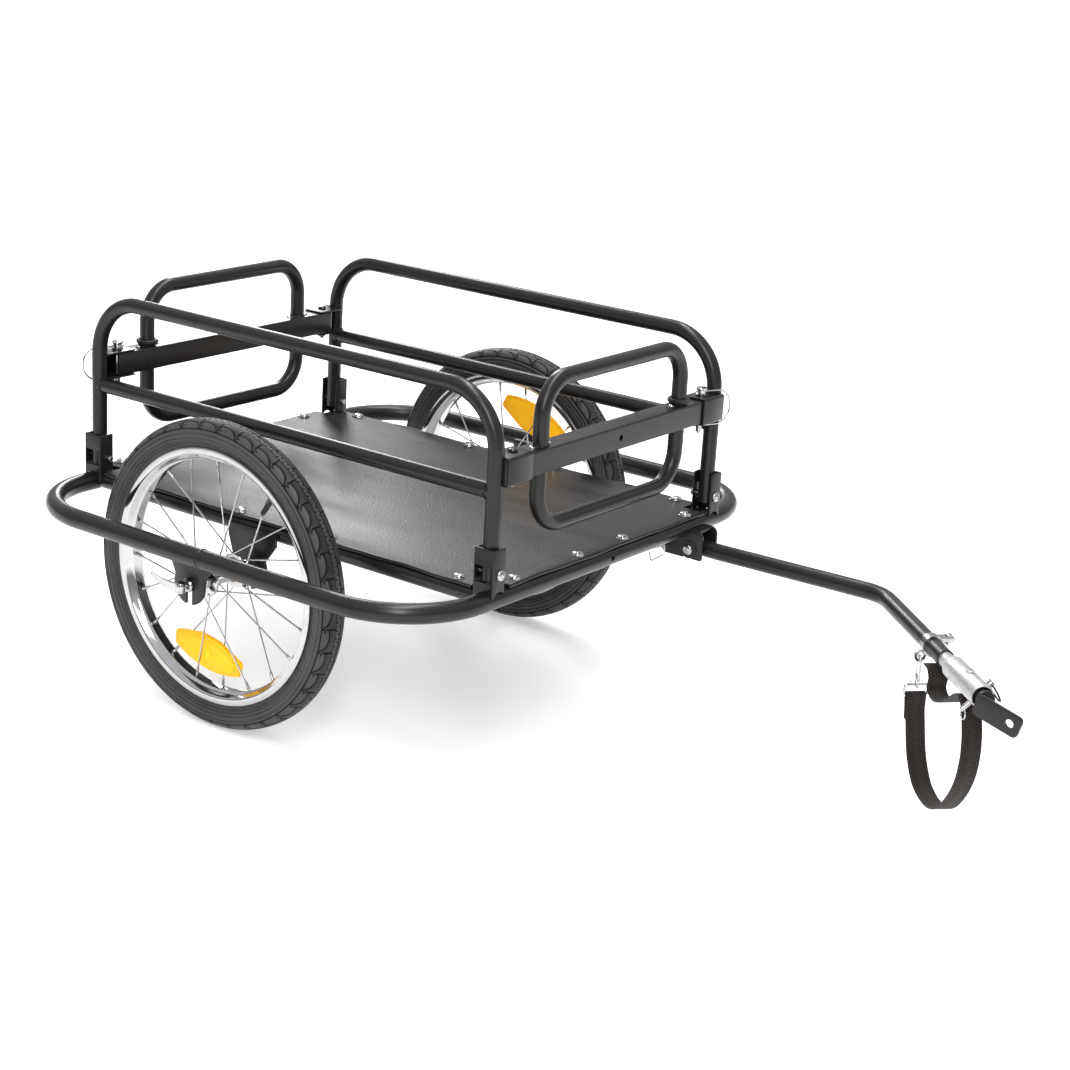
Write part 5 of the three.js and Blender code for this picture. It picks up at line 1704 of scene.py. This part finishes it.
    def lacing(self) -> None:
        """Builds the spokes with their bent heads, and the nipples."""
        nipple = [(0, 0), (2.3, 0), (2.3, 2.0), (1.9, 2.6), (1.9, 9.5), (1.5, 11.5), (0, 11.5)]
        wires, nipples = Shape(), Shape()
        for index in range(self.spokes):
            flange = 1 if index % 2 == 0 else -1
            leading = 1 if index % 4 < 2 else -1
            at_rim = FULL_TURN * (index + 0.5) / self.spokes - self.turns[0]
            at_hub = at_rim - leading * math.radians(self.crossing)
            foot = self.polar(self.flange, at_hub, flange * self.flange_reach)
            end = self.polar(self.spoke_end, at_rim)
            wires.add(rod(foot, end, self.spoke_wire, 10))
            side = vec(0, flange, 0)
            wires.add(spun(domed(2.2, 1.3), foot + side * 1.9, side, 10))
            along = (foot - end).normalized()
            nipples.add(spun(nipple, end + along * 0.2, along, 12))
        piece(f"spokes_{self.label}", wires, CHROME, self.body)
        piece(f"spoke_nipples_{self.label}", nipples, ZINC, self.body)

    def reflector(self) -> None:
        """Builds the reflector: an orange lens with raised faces and a boss in the middle."""
        turn = self.turns[0] + math.radians(self.lens_turn)
        c, n = math.cos(turn), math.sin(turn)
        rim = [(52 * k / 9, math.sqrt(132.0 ** 2 - (52 * k / 9) ** 2)) for k in range(-9, 10)]
        flank = [(56.5, 119.5), (58.5, 103.5), (56.5, 100.5), (16, 88)]
        places = [*rim, *flank, *((-along, out) for along, out in reversed(flank))]
        outline = [(out * c + along * n, along * c - out * n) for along, out in places]
        mid_x, mid_z = (sum(values) / len(outline) for values in zip(*outline))
        face = [(mid_x + (x - mid_x) * 0.84, mid_z + (z - mid_z) * 0.84) for x, z in outline]
        shape = upright(outline, -self.lens_half, self.lens_half).bevelled(1.6, 3)
        shape.add(upright(face, -self.lens_face, self.lens_face).bevelled(0.8))
        shape = shape.moved(Matrix.Translation(self.polar(0, 0)))
        for way in (1, -1):
            boss = self.polar(110, -turn, way * (self.lens_face - 0.2))
            shape.add(spun(domed(8.0, 1.6, 0.8), boss, vec(0, way, 0), 28))
        piece(f"reflector_lens_{self.label}", shape, LENS, self.body, [f"reflector_{self.label}"])

    def valve(self) -> None:
        """Builds the valve's stem with its cap."""
        foot = self.polar(self.spoke_end - 0.1, -self.turns[1])
        profile = [
            (0, 0), (4.4, 0), (4.2, 2), (3.1, 4), (3.0, 16), (3.5, 16.5), (3.7, 17.5), (3.4, 28.5),
            (2.4, 29.7), (0, 29.7),
        ]
        shape = spun(profile, foot, self.polar(0, 0) - foot, 20)
        piece(f"valve_stem_{self.label}", shape, RUBBER, self.body, [f"valve_{self.label}"])

    def axle(self) -> None:
        """Builds the fixed axle with its locknuts and the quick release's ends."""
        cap = [(0, 0), (8.6, 0), (9, 0.8), (9, 3.4), (7.4, 5.4), (5.5, 6), (0, 6)]
        nut = [(0, 0), (8, 0), (8, 3), (6.4, 4.4), (5.6, 12), (4.6, 13), (0, 13)]
        middle, out = self.polar(0, 0), self.out
        steel = rod(middle - out * 56, middle + out * 56, 5.0, 24, 0.6)
        for d in (out, -out):
            steel.add(rod(middle + d * 33.6, middle + d * 40, 7.0, 24, 0.5))
            steel.add(rod(middle + d * 40, middle + d * 50, 8.5, 6, 0.7))
        steel.add(spun(cap, middle + out * 54.6, out), spun(nut, middle - out * 54.6, -out, 12))
        steel.add(rod(middle + out * 60, middle + out * 63, 2.5))
        piece(f"axle_steel_{self.label}", steel, ZINC, "chassis", [f"axle_{self.label}"])

    def lever(self) -> None:
        """Builds the quick release's lever: a cam barrel and a cupped, curving blade."""
        cam = self.polar(0, 0, self.side.value * self.lever_reach)
        half = [(0, -7), (5, -7), (6, -6)]
        rows, sides = self.lever_rows, self.lever_sides
        shape = Shape()
        for k in range(rows + 1):
            t = k / rows
            spine = self.out * (3.2 + 7.5 * t ** 1.6 - 4.2 * t ** 6) + vec(-3 - 42 * t, 0, 11 * t ** 2.2)
            tip = 1.0 if t < 0.85 else math.sqrt(max(0.02, 1 - ((t - 0.85) / 0.15) ** 2))
            width, thick = 6.6 * (1 - 0.4 * t) * tip, 3.0 * (1 - 0.45 * t)
            for u, v in circle(1.0, sides):
                cup = 1.8 * (1 - u * u) * (1 if v > 0 else 0.3)
                shape.verts.append(cam + spine + self.out * (v * thick - cup) + UP * (u * width))
        shape.joined(rows + 1, sides).add(spun(mirrored(half), cam, UP, 28))
        name, node = f"lever_{self.label}", f"release_lever_{self.label}"
        piece(name, shape, CHROME, f"release_{self.label}", [node], smooth=CURVED_SHARP)


@dataclass
class TowBar:
    """The tow bar, its bracket and the pins that hold it."""

    tube: float = 22.0
    bore: float = 9.6
    rear: float = 345.0
    straight: float = 430.0
    vertex: Vector = field(default_factory=lambda: vec(665, 203, PLAN.tow_height))
    yaw: float = math.radians(42.7)
    fore: float = 224.0
    bend: float = 60.0
    cheek: Pair = (15.0, 19.0)
    washer: Pair = (19.2, 20.7)
    spacer: Pair = (11.3, 14.7)

    def at(self, s: float, across: float = 0.0, up: float = 0.0) -> Vector:
        """A point by its place along the bar's last run, to its left and above it."""
        c, n = math.cos(self.yaw), math.sin(self.yaw)
        x, y = self.vertex.x + s * c + across * n, self.vertex.y - s * n + across * c
        return vec(x, y, PLAN.tow_height + up)

    @property
    def along(self) -> Vector:
        """The direction of the bar's last run."""
        return (self.at(1) - self.at(0)).normalized()

    @property
    def across(self) -> Vector:
        """The direction to the left of the bar's last run."""
        return (self.at(0, 1) - self.at(0)).normalized()

    def mid(self, x: float) -> Vector:
        """A point of the rear run's middle line."""
        return vec(x, PLAN.tow_offset, PLAN.tow_height)

    def build(self) -> None:
        """Builds the bar, the bracket, the bolt and the pin."""
        corners = [self.mid(self.rear), self.mid(self.straight), self.vertex, self.at(self.fore)]
        rear_bore = rod(self.mid(self.rear - 5), self.mid(self.rear + 11), self.bore)
        fore_bore = rod(self.at(self.fore - 20), self.at(self.fore + 3), self.bore)
        bar = tube(bent(corners, self.bend, 22), self.tube / 2, 32)
        piece("tow_tube", bar, POWDER, "tow_arm", ["tow_bar"], [rear_bore, fore_bore])
        self.bracket()
        self.bolt()
        self.pin()

    def bracket(self) -> None:
        """Builds two cheeks of plate under the front tube, tied by a web."""
        right, left = RIGHT * OVERRUN, -RIGHT * OVERRUN
        front, ring_z, foot = PLAN.ring_front, PLAN.ring_height, PLAN.tow_height - 13
        half = PLAN.ring_tube / 2
        outline = [
            *arc(400, ring_z - 10, 10, 90, 0, 8), (410, foot + 1.5), (408.5, foot), (353, foot),
            (346, foot + 6), (front - half, ring_z), (front + half, ring_z),
        ]
        bolt, pin = self.mid(PLAN.tow_bolt_x), self.mid(PLAN.tow_pin_x)
        ring_middle = vec(front, PLAN.tow_offset, ring_z)
        ring = rod(ring_middle + right * 3, ring_middle + left * 3, half + 0.3, 40)
        slot = block(bolt + right + vec(-8.4, 0, -21), bolt + left + vec(4.4, 0, 0))
        cutters = [ring, rod(pin + right, pin + left, 4.3), slot, rod(bolt + right, bolt + left, 4.4)]
        cheeks = Shape()
        offset, (near, far) = PLAN.tow_offset, self.cheek
        for way in (1, -1):
            cheeks.add(upright(outline, offset + way * near, offset + way * far).bevelled(0.8))
        piece("bracket_cheeks", cheeks, POWDER, "chassis", ["tow_bracket"], cutters)
        reach = near - 0.5
        web = block(vec(388, offset - reach, ring_z - 4), vec(403, offset + reach, ring_z))
        piece("bracket_web", web.bevelled(0.6), POWDER, "chassis", cutters=[ring])

    def bolt(self) -> None:
        """Builds the bolt through the bar, with its painted washers."""
        middle = self.mid(PLAN.tow_bolt_x)
        bolt = Bolt((7.0, 3.6, 1.2), 20.9, (-26.0, 19.0), (-25.6, -20.9), self.spacer)
        piece("bolt_tow", bolt.shape(middle, RIGHT), ZINC, "tow_arm", ["tow_bolt"])
        washers = Shape()
        near, far = self.washer
        for way in (RIGHT, -RIGHT):
            washers.add(rod(middle + way * near, middle + way * far, 12.2, 40, 0.4))
        piece("washers_tow", washers, POWDER, "tow_arm")

    def pin(self) -> None:
        """Builds the clevis pin and the wire clip through its tip."""
        foot = self.mid(PLAN.tow_pin_x)
        pin = rod(foot + RIGHT * 32.3, foot - RIGHT * 19.3, 4.0, 24, 0.8)
        pin.add(rod(foot - RIGHT * 19.3, foot - RIGHT * 23.3, 6.5, 24, 0.8))
        pin.add(*spacers(foot, RIGHT, self.spacer, 7.0))
        piece("pin_tow", pin, ZINC, "chassis", ["tow_pin"])
        y = PLAN.tow_offset - self.cheek[1] - 6.8
        places = ((357, 229), (357, 208), (337, 193), (332, 208), (349, 216))
        clip = tube(bent([vec(x, y, z) for x, z in places], 2.5, 8), 1.0, 12)
        piece("clip_tow", clip, CHROME, "chassis", ["tow_pin_clip"])


@dataclass
class Coupling:
    """The sleeve, the rubber joint, the tongue and the small parts at the bar's end."""

    bar: TowBar
    clamp_at: float = 178.0
    clamp_half: float = 6.5
    lug_reach: float = 19.0
    boss_at: float = 300.0
    joint_at: float = 331.0
    stud_at: float = 350.0
    tongue_y: float = 47.0
    droop: float = math.radians(15.5)

    @property
    def pin_line(self) -> Vector:
        """The direction of the hitch pin, towards its head."""
        return (self.bar.across + UP).normalized()

    def build(self) -> None:
        """Builds the clamp, the sleeve, the joint, the tongue and the pin."""
        self.clamp()
        self.sleeve()
        self.joint()
        self.tongue()
        self.hitch_pin()

    def clamp(self) -> None:
        """Builds the strap clamp with its ear, its lug and its screw."""
        half, along, middle = self.clamp_half, self.bar.along, self.bar.at(self.clamp_at)
        band = lathe([(11.3, -half), (13.5, -half), (13.5, half), (11.3, half)], 40, closed=True)
        turn = Matrix((along, self.bar.across, UP)).transposed().to_4x4()
        place = Matrix.Translation(middle) @ turn
        ear = block(vec(-half, 5.5, 5.5), vec(half, 25.5, 11.5)).bevelled(1.2, 3).moved(place)
        piece("clamp_band", band.moved(aim(middle, along)).add(ear), ZINC, "tow_arm", ["strap_clamp"])
        centre = place @ (vec(0, -1, -1).normalized() * self.lug_reach)
        lug = rod(centre - along * 1.25, centre + along * 1.25, 7.5, 32, 0.4)
        hole = rod(centre - along * 5, centre + along * 5, 4.25, 24)
        piece("clamp_lug", lug, ZINC, "tow_arm", cutters=[hole])
        screw = place @ vec(0, 19.5, 11.5)
        head = spun(domed(4.6, 3.4, 1.4), screw, UP).add(rod(screw - UP * 12, screw, 2.3))
        head.add(rod(screw - UP * 10, screw - UP * 6.2, 4.6, 6, 0.4))
        piece("clamp_screw", head, CHROME, "tow_arm")

    def sleeve(self) -> None:
        """Builds the turned sleeve with its boss and the pin's cross hole."""
        profile = [
            (0, 206), (9.2, 206), (9.2, 238.5), (9.8, 240), (13.2, 248.5), (14, 251), (14, 340), (13.2, 342),
            (12.2, 342), (12.2, 306), (0, 306),
        ]
        shape = lathe(profile, 56).moved(aim(self.bar.at(0), self.bar.along))
        centre, reach = self.bar.at(self.joint_at), self.pin_line * OVERRUN
        cross = rod(centre - reach, centre + reach, 3.3)
        piece("sleeve_body", shape, SILVER, "tow_arm", ["coupling_sleeve"], [cross])
        ring = [(2.0, 0), (5, 0), (5, 3.0), (4.5, 3.6), (2.0, 3.6), (2.0, 0.4)]
        piece("sleeve_boss", spun(ring, self.bar.at(self.boss_at, 0, 12.9), UP), SILVER, "tow_arm")

    def joint(self) -> None:
        """Builds the rubber ball and its flange."""
        radius = 11.8
        angles = [math.pi * k / 20 for k in range(1, 15)]
        ball = [(radius * math.sin(a), -radius * math.cos(a)) for a in angles]
        flange = [(8.5, 10), (8.6, 14.5), (10.6, 16), (11, 17), (11, 20), (10.2, 21), (0, 21)]
        shape = spun([(0.0, -radius), *ball, *flange], self.bar.at(self.joint_at), self.bar.along, 36)
        piece("rubber_joint", shape, RUBBER, "hitch", ["flex_joint"])

    def tongue(self) -> None:
        """Builds the axle tongue, a drilled plate with round corners, and its stud."""
        s = (self.bar.vertex.y + self.tongue_y) / math.sin(self.bar.yaw)
        outline = [(x + 9, z) for x, z in rounded_box(29, 13, 6, 6)]
        place = Matrix.Translation(self.bar.at(s, 0, -7)) @ Matrix.Rotation(self.droop, 4, "Y")
        plate = upright(outline, -2.5, 2.5).bevelled(0.7).moved(place)
        hole = rod(vec(24.5, -8, 0), vec(24.5, 8, 0), 5.25, 32).moved(place)
        piece("axle_tongue", plate, POWDER, "hitch", ["tongue_plate"], [hole])
        stud = rod(self.bar.at(self.stud_at), self.bar.at(s), 5.0, 24)
        piece("tongue_stud", stud, POWDER, "hitch")

    def hitch_pin(self) -> None:
        """Builds the hitch pin, the ring in its tip and the tether in its head."""
        head = [(0, 0), (5.25, 0), (5.25, 1), (4.4, 1.8), (4.4, 4.2), (5.25, 4.8), (4.6, 5.7), (0, 5.7)]
        centre, line, across = self.bar.at(self.joint_at), self.pin_line, self.bar.across
        shape = rod(centre - line * 28, centre + line * 15, 3.0, 24, 0.8)
        shape.add(spun(head, centre + line * 14.3, line))
        piece("pin_hitch", shape, ZINC, "tow_arm", ["hitch_pin"])
        for name, node, place, radius, wire, lean, finish in (
            ("ring_hitch", "hitch_pin_ring", -23.4, 7, 1.6, 0.0, CHROME),
            ("tether_loop", "hitch_tether", 17.15, 12, 2.4, math.radians(30), RUBBER),
        ):
            down = across * math.sin(lean) - UP * math.cos(lean)
            axis = across * math.cos(lean) + UP * math.sin(lean)
            ring = wire_ring(centre + line * place + down * radius, axis, radius, wire)
            piece(name, ring, finish, "tow_arm", [node])


@dataclass
class SafetyStrap:
    """The webbing strap with its buckle and its snap hook."""

    bar: TowBar
    width: float = 25.0
    thickness: float = 1.8
    steps: int = 6
    buckle_at: float = 160.0
    buckle_foot: float = 150.2
    buckle_top: float = 163.8
    buckle_half: float = 14.8
    side: float = -6.0
    hook_half: float = 5.5
    route: tuple[tuple[float, float, float], ...] = (
        (162.4, -6, 121), (160, -6, 134), (156.3, -6, 149), (157.3, -6, 153.1), (160, -6, 154.4),
        (162.7, -6, 153.1), (163.7, -6, 149), (163.9, -6, 134), (166.8, -5, 117), (178, -3, 78),
        (200, -1, 51), (235, 0, 43), (268, 0, 51), (300, 0, 79), (321, 0, 112), (328, 0, 145),
        (323, 0, 176), (308, 0, 203), (294, 0, 205.5), (276, 0, 195), (250, 0, 178), (225, 0, 171),
        (207, 0, 178), (209, 0, 192), (202, 0, 200), (188, 0, 201.5),
    )

    def build(self) -> None:
        """Builds the strap, the buckle and the hook."""
        points = self.line()
        strap = self.webbing(points)
        buckle = self.buckle()
        hook, gate = self.hook()
        path = [list(TRAILER @ p) for p in reversed(points)]
        length = sum(((TRAILER @ a) - (TRAILER @ b)).length for a, b in zip(points, points[1:]))
        tuple(path[0])

    def at(self, s: float, across: float, z: float) -> Vector:
        """A point by its place along the bar's last run, to its left, and its height over the ground."""
        return self.bar.at(s, across, z - PLAN.tow_height)

    def line(self) -> list[Vector]:
        """The strap's middle line, a smooth curve through its route.

        Returns:
            Its points, from the end sewn behind the buckle, round the loop, to the end under the bar.
        """
        knots = [self.at(*place) for place in self.route]
        knots = [knots[0] * 2 - knots[1], *knots, knots[-1] * 2 - knots[-2]]
        points = []
        for four in zip(knots, knots[1:], knots[2:], knots[3:]):
            points.extend(self.centripetal(four, k / self.steps) for k in range(self.steps))
        return [*points, knots[-2]]

    def centripetal(self, four: Sequence[Vector], share: float) -> Vector:
        """A point of the centripetal spline between the second and the third of four points.

        Args:
            four: The four points.
            share: The place between the two, from 0 to 1.

        Returns:
            The point.
        """
        times = [0.0]
        for a, b in zip(four, four[1:]):
            times.append(times[-1] + (b - a).length ** 0.5)
        u = times[1] + (times[2] - times[1]) * share
        level = list(four)
        for row in (((0, 1), (1, 2), (2, 3)), ((0, 2), (1, 3)), ((1, 2),)):
            shares = [(u - times[i]) / (times[j] - times[i]) for i, j in row]
            level = [a * (1 - part) + b * part for a, b, part in zip(level, level[1:], shares)]
        return level[0]

    def webbing(self, points: Sequence[Vector]) -> bpy.types.Object:
        """Builds the flat strap along its line, with a map for its weave.

        Args:
            points: The strap's middle line.

        Returns:
            The strap.
        """
        half, thin = self.width / 2, self.thickness / 2
        corner = [(-half, 0), (-half + 0.5, thin * 0.8), (-half + 1.4, thin)]
        upper = [*corner, (0, thin), *((-u, v) for u, v in reversed(corner))]
        outline = [*upper, *((-u, -v) for u, v in upper[1:-1])]
        shape, places, run = Shape(), [], 0.0
        for i, p in enumerate(points):
            before, after = points[max(i - 1, 0)], points[min(i + 1, len(points) - 1)]
            along = (after - before).normalized()
            side = (self.bar.across - along * self.bar.across.dot(along)).normalized()
            up = side.cross(along)
            run += (p - points[i - 1]).length if i else 0.0
            shape.verts.extend(p + side * u + up * v for u, v in outline)
            places.extend((u, run) for u, _ in outline)
        shape.joined(len(points), len(outline))
        made = piece("strap_webbing", shape, WEBBING, "tow_arm", ["safety_strap"], smooth=CURVED_SHARP)
        chart(made, places)
        return made

    def buckle(self) -> bpy.types.Object:
        """Builds the buckle: a rectangle of wire with round corners.

        Returns:
            The buckle.
        """
        half, foot, top = self.buckle_half, self.buckle_foot, self.buckle_top
        places = ((-half, foot), (half, foot), (half, top), (-half, top))
        corners = [self.at(self.buckle_at, self.side + y, z) for y, z in places]
        wire = tube(bent(corners, 3.0, 6, closed=True), 1.65, 16, closed=True)
        return piece("buckle_wire", wire, CHROME, "tow_arm", ["strap_buckle"])

    def hook(self) -> tuple[bpy.types.Object, bpy.types.Object]:
        """Builds the snap hook, from the buckle's top to the clamp's lug, and its spring gate.

        Returns:
            The hook and its gate.
        """
        clamp = Coupling(self.bar)
        foot = self.at(self.buckle_at, self.side, self.buckle_top)
        lug = vec(0, -1, -1).normalized() * clamp.lug_reach
        top = self.bar.at(clamp.clamp_at, lug.y, lug.z - 4.25 + 1.8 + 1.6)
        length = (top - foot).length
        frame = Matrix((self.bar.along, UP.cross(self.bar.along), UP)).transposed()
        turn = UP.rotation_difference(frame.inverted() @ (top - foot).normalized()).to_matrix()
        place = Matrix.Translation(foot) @ (frame @ turn).to_4x4()
        eye = wire_ring(vec(0, 0, 0), -RIGHT, 3.8, 2.6, 28)
        swivel = [(0, 3.6), (2.4, 3.6), (3.3, 4.6), (3.3, 6.4), (2.7, 7.0)]
        neck = lathe([*swivel, (2.7, 10.6), (3.4, 11.4), (3.0, 12.4), (0, 12.4)], 20)
        half = self.hook_half
        bow = ((-half, 11.8), (half, 11.8), (half, length), (-half, length), (-half, length - 12))
        wire = tube(bent([vec(x, 0, z) for x, z in bow], 4.0, 8), 1.8, 14)
        made = piece("hook_body", eye.add(neck, wire).moved(place), CHROME, "tow_arm", ["snap_hook"])
        gate = rod(vec(-half, 0, 13.9), vec(-half, 0, length - 12.3), 1.1, 12, 0.3).moved(place)
        return made, piece("hook_tongue", gate, CHROME, "hook_latch", ["hook_gate"])


@dataclass
class Studio:
    """The floor, the lights and the camera."""

    eye: Vector = field(default_factory=lambda: vec(1862.338, -2199.338, 1115.510))
    right: Vector = field(default_factory=lambda: vec(0.7973565, 0.6008313, 0.0567831))
    up: Vector = field(default_factory=lambda: vec(-0.2261038, 0.2101680, 0.9511606))
    focal_pixels: float = 2220.777
    picture: float = 1070.0
    sensor: float = 36.0
    floor_half: float = 100.0
    floor_drop: float = 0.0005
    boxes: tuple[tuple[str, tuple[float, float, float], float, float, float], ...] = (
        ("key_box", (1.5, -2.3, 2.2), 0.5, 2.2, 60.0),
        ("top_box", (-0.2, 0.2, 2.8), 0.35, 3.0, 60.0),
        ("rim_box", (-2.4, 1.9, 1.9), 0.5, 2.0, 40.0),
    )

    def build(self) -> None:
        """Sets up what the object is looked at with."""
        self.camera()
        self.floor()
        self.room()
        self.lights()

    def camera(self) -> None:
        """Puts the camera where the photograph was taken from."""
        lens = bpy.data.cameras.new("view_camera")
        lens.sensor_width = self.sensor
        lens.lens = self.sensor * self.focal_pixels / self.picture
        lens.clip_end = 2 * self.floor_half
        turn = Matrix((self.right, self.up, self.right.cross(self.up))).transposed().to_4x4()
        made = placed("view_camera", lens)
        made.matrix_world = Matrix.Translation(TRAILER @ self.eye) @ turn
        bpy.context.scene.camera = made

    def floor(self) -> None:
        """Lays the pale floor that the trailer stands on."""
        half = self.floor_half
        corners = [(x * half, y * half, -self.floor_drop) for x, y in ((-1, -1), (1, -1), (1, 1), (-1, 1))]
        mesh = bpy.data.meshes.new("floor")
        mesh.from_pydata(corners, [], [(0, 1, 2, 3)])
        paper = Finish("floor_paper", "", (0.86, 0.86, 0.86), 0.9, mottle=0.01, mottle_size=2.0, grain=0.0)
        glow = paper.material()
        shader = glow.node_tree.nodes["Principled BSDF"]
        shader.inputs["Emission Color"].default_value = (1.0, 1.0, 1.0, 1.0)
        shader.inputs["Emission Strength"].default_value = 0.4
        mesh.materials.append(glow)
        made = placed("floor", mesh)

    def room(self) -> None:
        """Makes a room with grey walls and a bright ceiling."""
        world = bpy.data.worlds.new("studio")
        world.use_nodes = True
        bpy.context.scene.world = world
        bpy.context.scene.view_settings.view_transform = "Standard"
        nodes = Nodes(world.node_tree)
        background = world.node_tree.nodes["Background"]
        background.inputs["Strength"].default_value = 1.0
        split = nodes.add("SeparateXYZ", Vector=nodes.term("TexCoord", "Generated"))
        ramp = nodes.add("ValToRGB", Fac=Term(nodes, split.outputs["Z"]))
        low, high = ramp.color_ramp.elements
        low.position, low.color = 0.16, (0.42, 0.42, 0.42, 1)
        high.position, high.color = 0.5, (0.9, 0.9, 0.9, 1)
        nodes.put(background.inputs["Color"], Term(nodes, ramp.outputs["Color"]))

    def lights(self) -> None:
        """Hangs three long soft boxes, which face the trailer."""
        for name, spot, width, length, power in self.boxes:
            light = bpy.data.lights.new(name, "AREA")
            light.shape = "RECTANGLE"
            light.size = width
            light.size_y = length
            light.energy = power
            placed(name, light).matrix_world = aim(Vector(spot), Vector(spot) - vec(-0.1, 0, 0.25))


def dress_nodes(frame: dict) -> None:
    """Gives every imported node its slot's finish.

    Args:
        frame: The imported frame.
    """
    finishes = (POWDER, BOARD, RUBBER_TYRE, RUBBER, CHROME, ZINC, SILVER, LENS, WEBBING)
    by_slot = {finish.slot: finish for finish in finishes}
    slots = {part["node"]: part["material_slot"] for part in frame["record"]["subparts"]}
    for name, node in frame["nodes"].items():
        node.data.materials.clear()
        node.data.materials.append(by_slot[slots[name]].material())


def main() -> None:
    """Builds the trailer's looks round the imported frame."""
    logging.basicConfig(level=logging.INFO, format="%(message)s")
    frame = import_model()
    Studio().build()
    LOG.info("studio")
    bar = TowBar()
    SafetyStrap(bar).build()
    LOG.info("strap")
    dress_nodes(frame)
    BaseFrame().build()
    LOG.info("base frame")
    Deck().build()
    LOG.info("deck")
    for side in Side:
        for end in End:
            Post(end, side).build()
        Hoop(side).build()
        LOG.info("hoop %s", side.label)
    for end in End:
        Gate(end).build()
        LOG.info("gate %s", end.label)
    for side in Side:
        Wheel(side).build()
        LOG.info("wheel %s", side.label)
    bar.build()
    LOG.info("tow bar")
    Coupling(bar).build()
    LOG.info("coupling")
    bpy.context.view_layer.update()


if __name__ == "__main__":
    main()
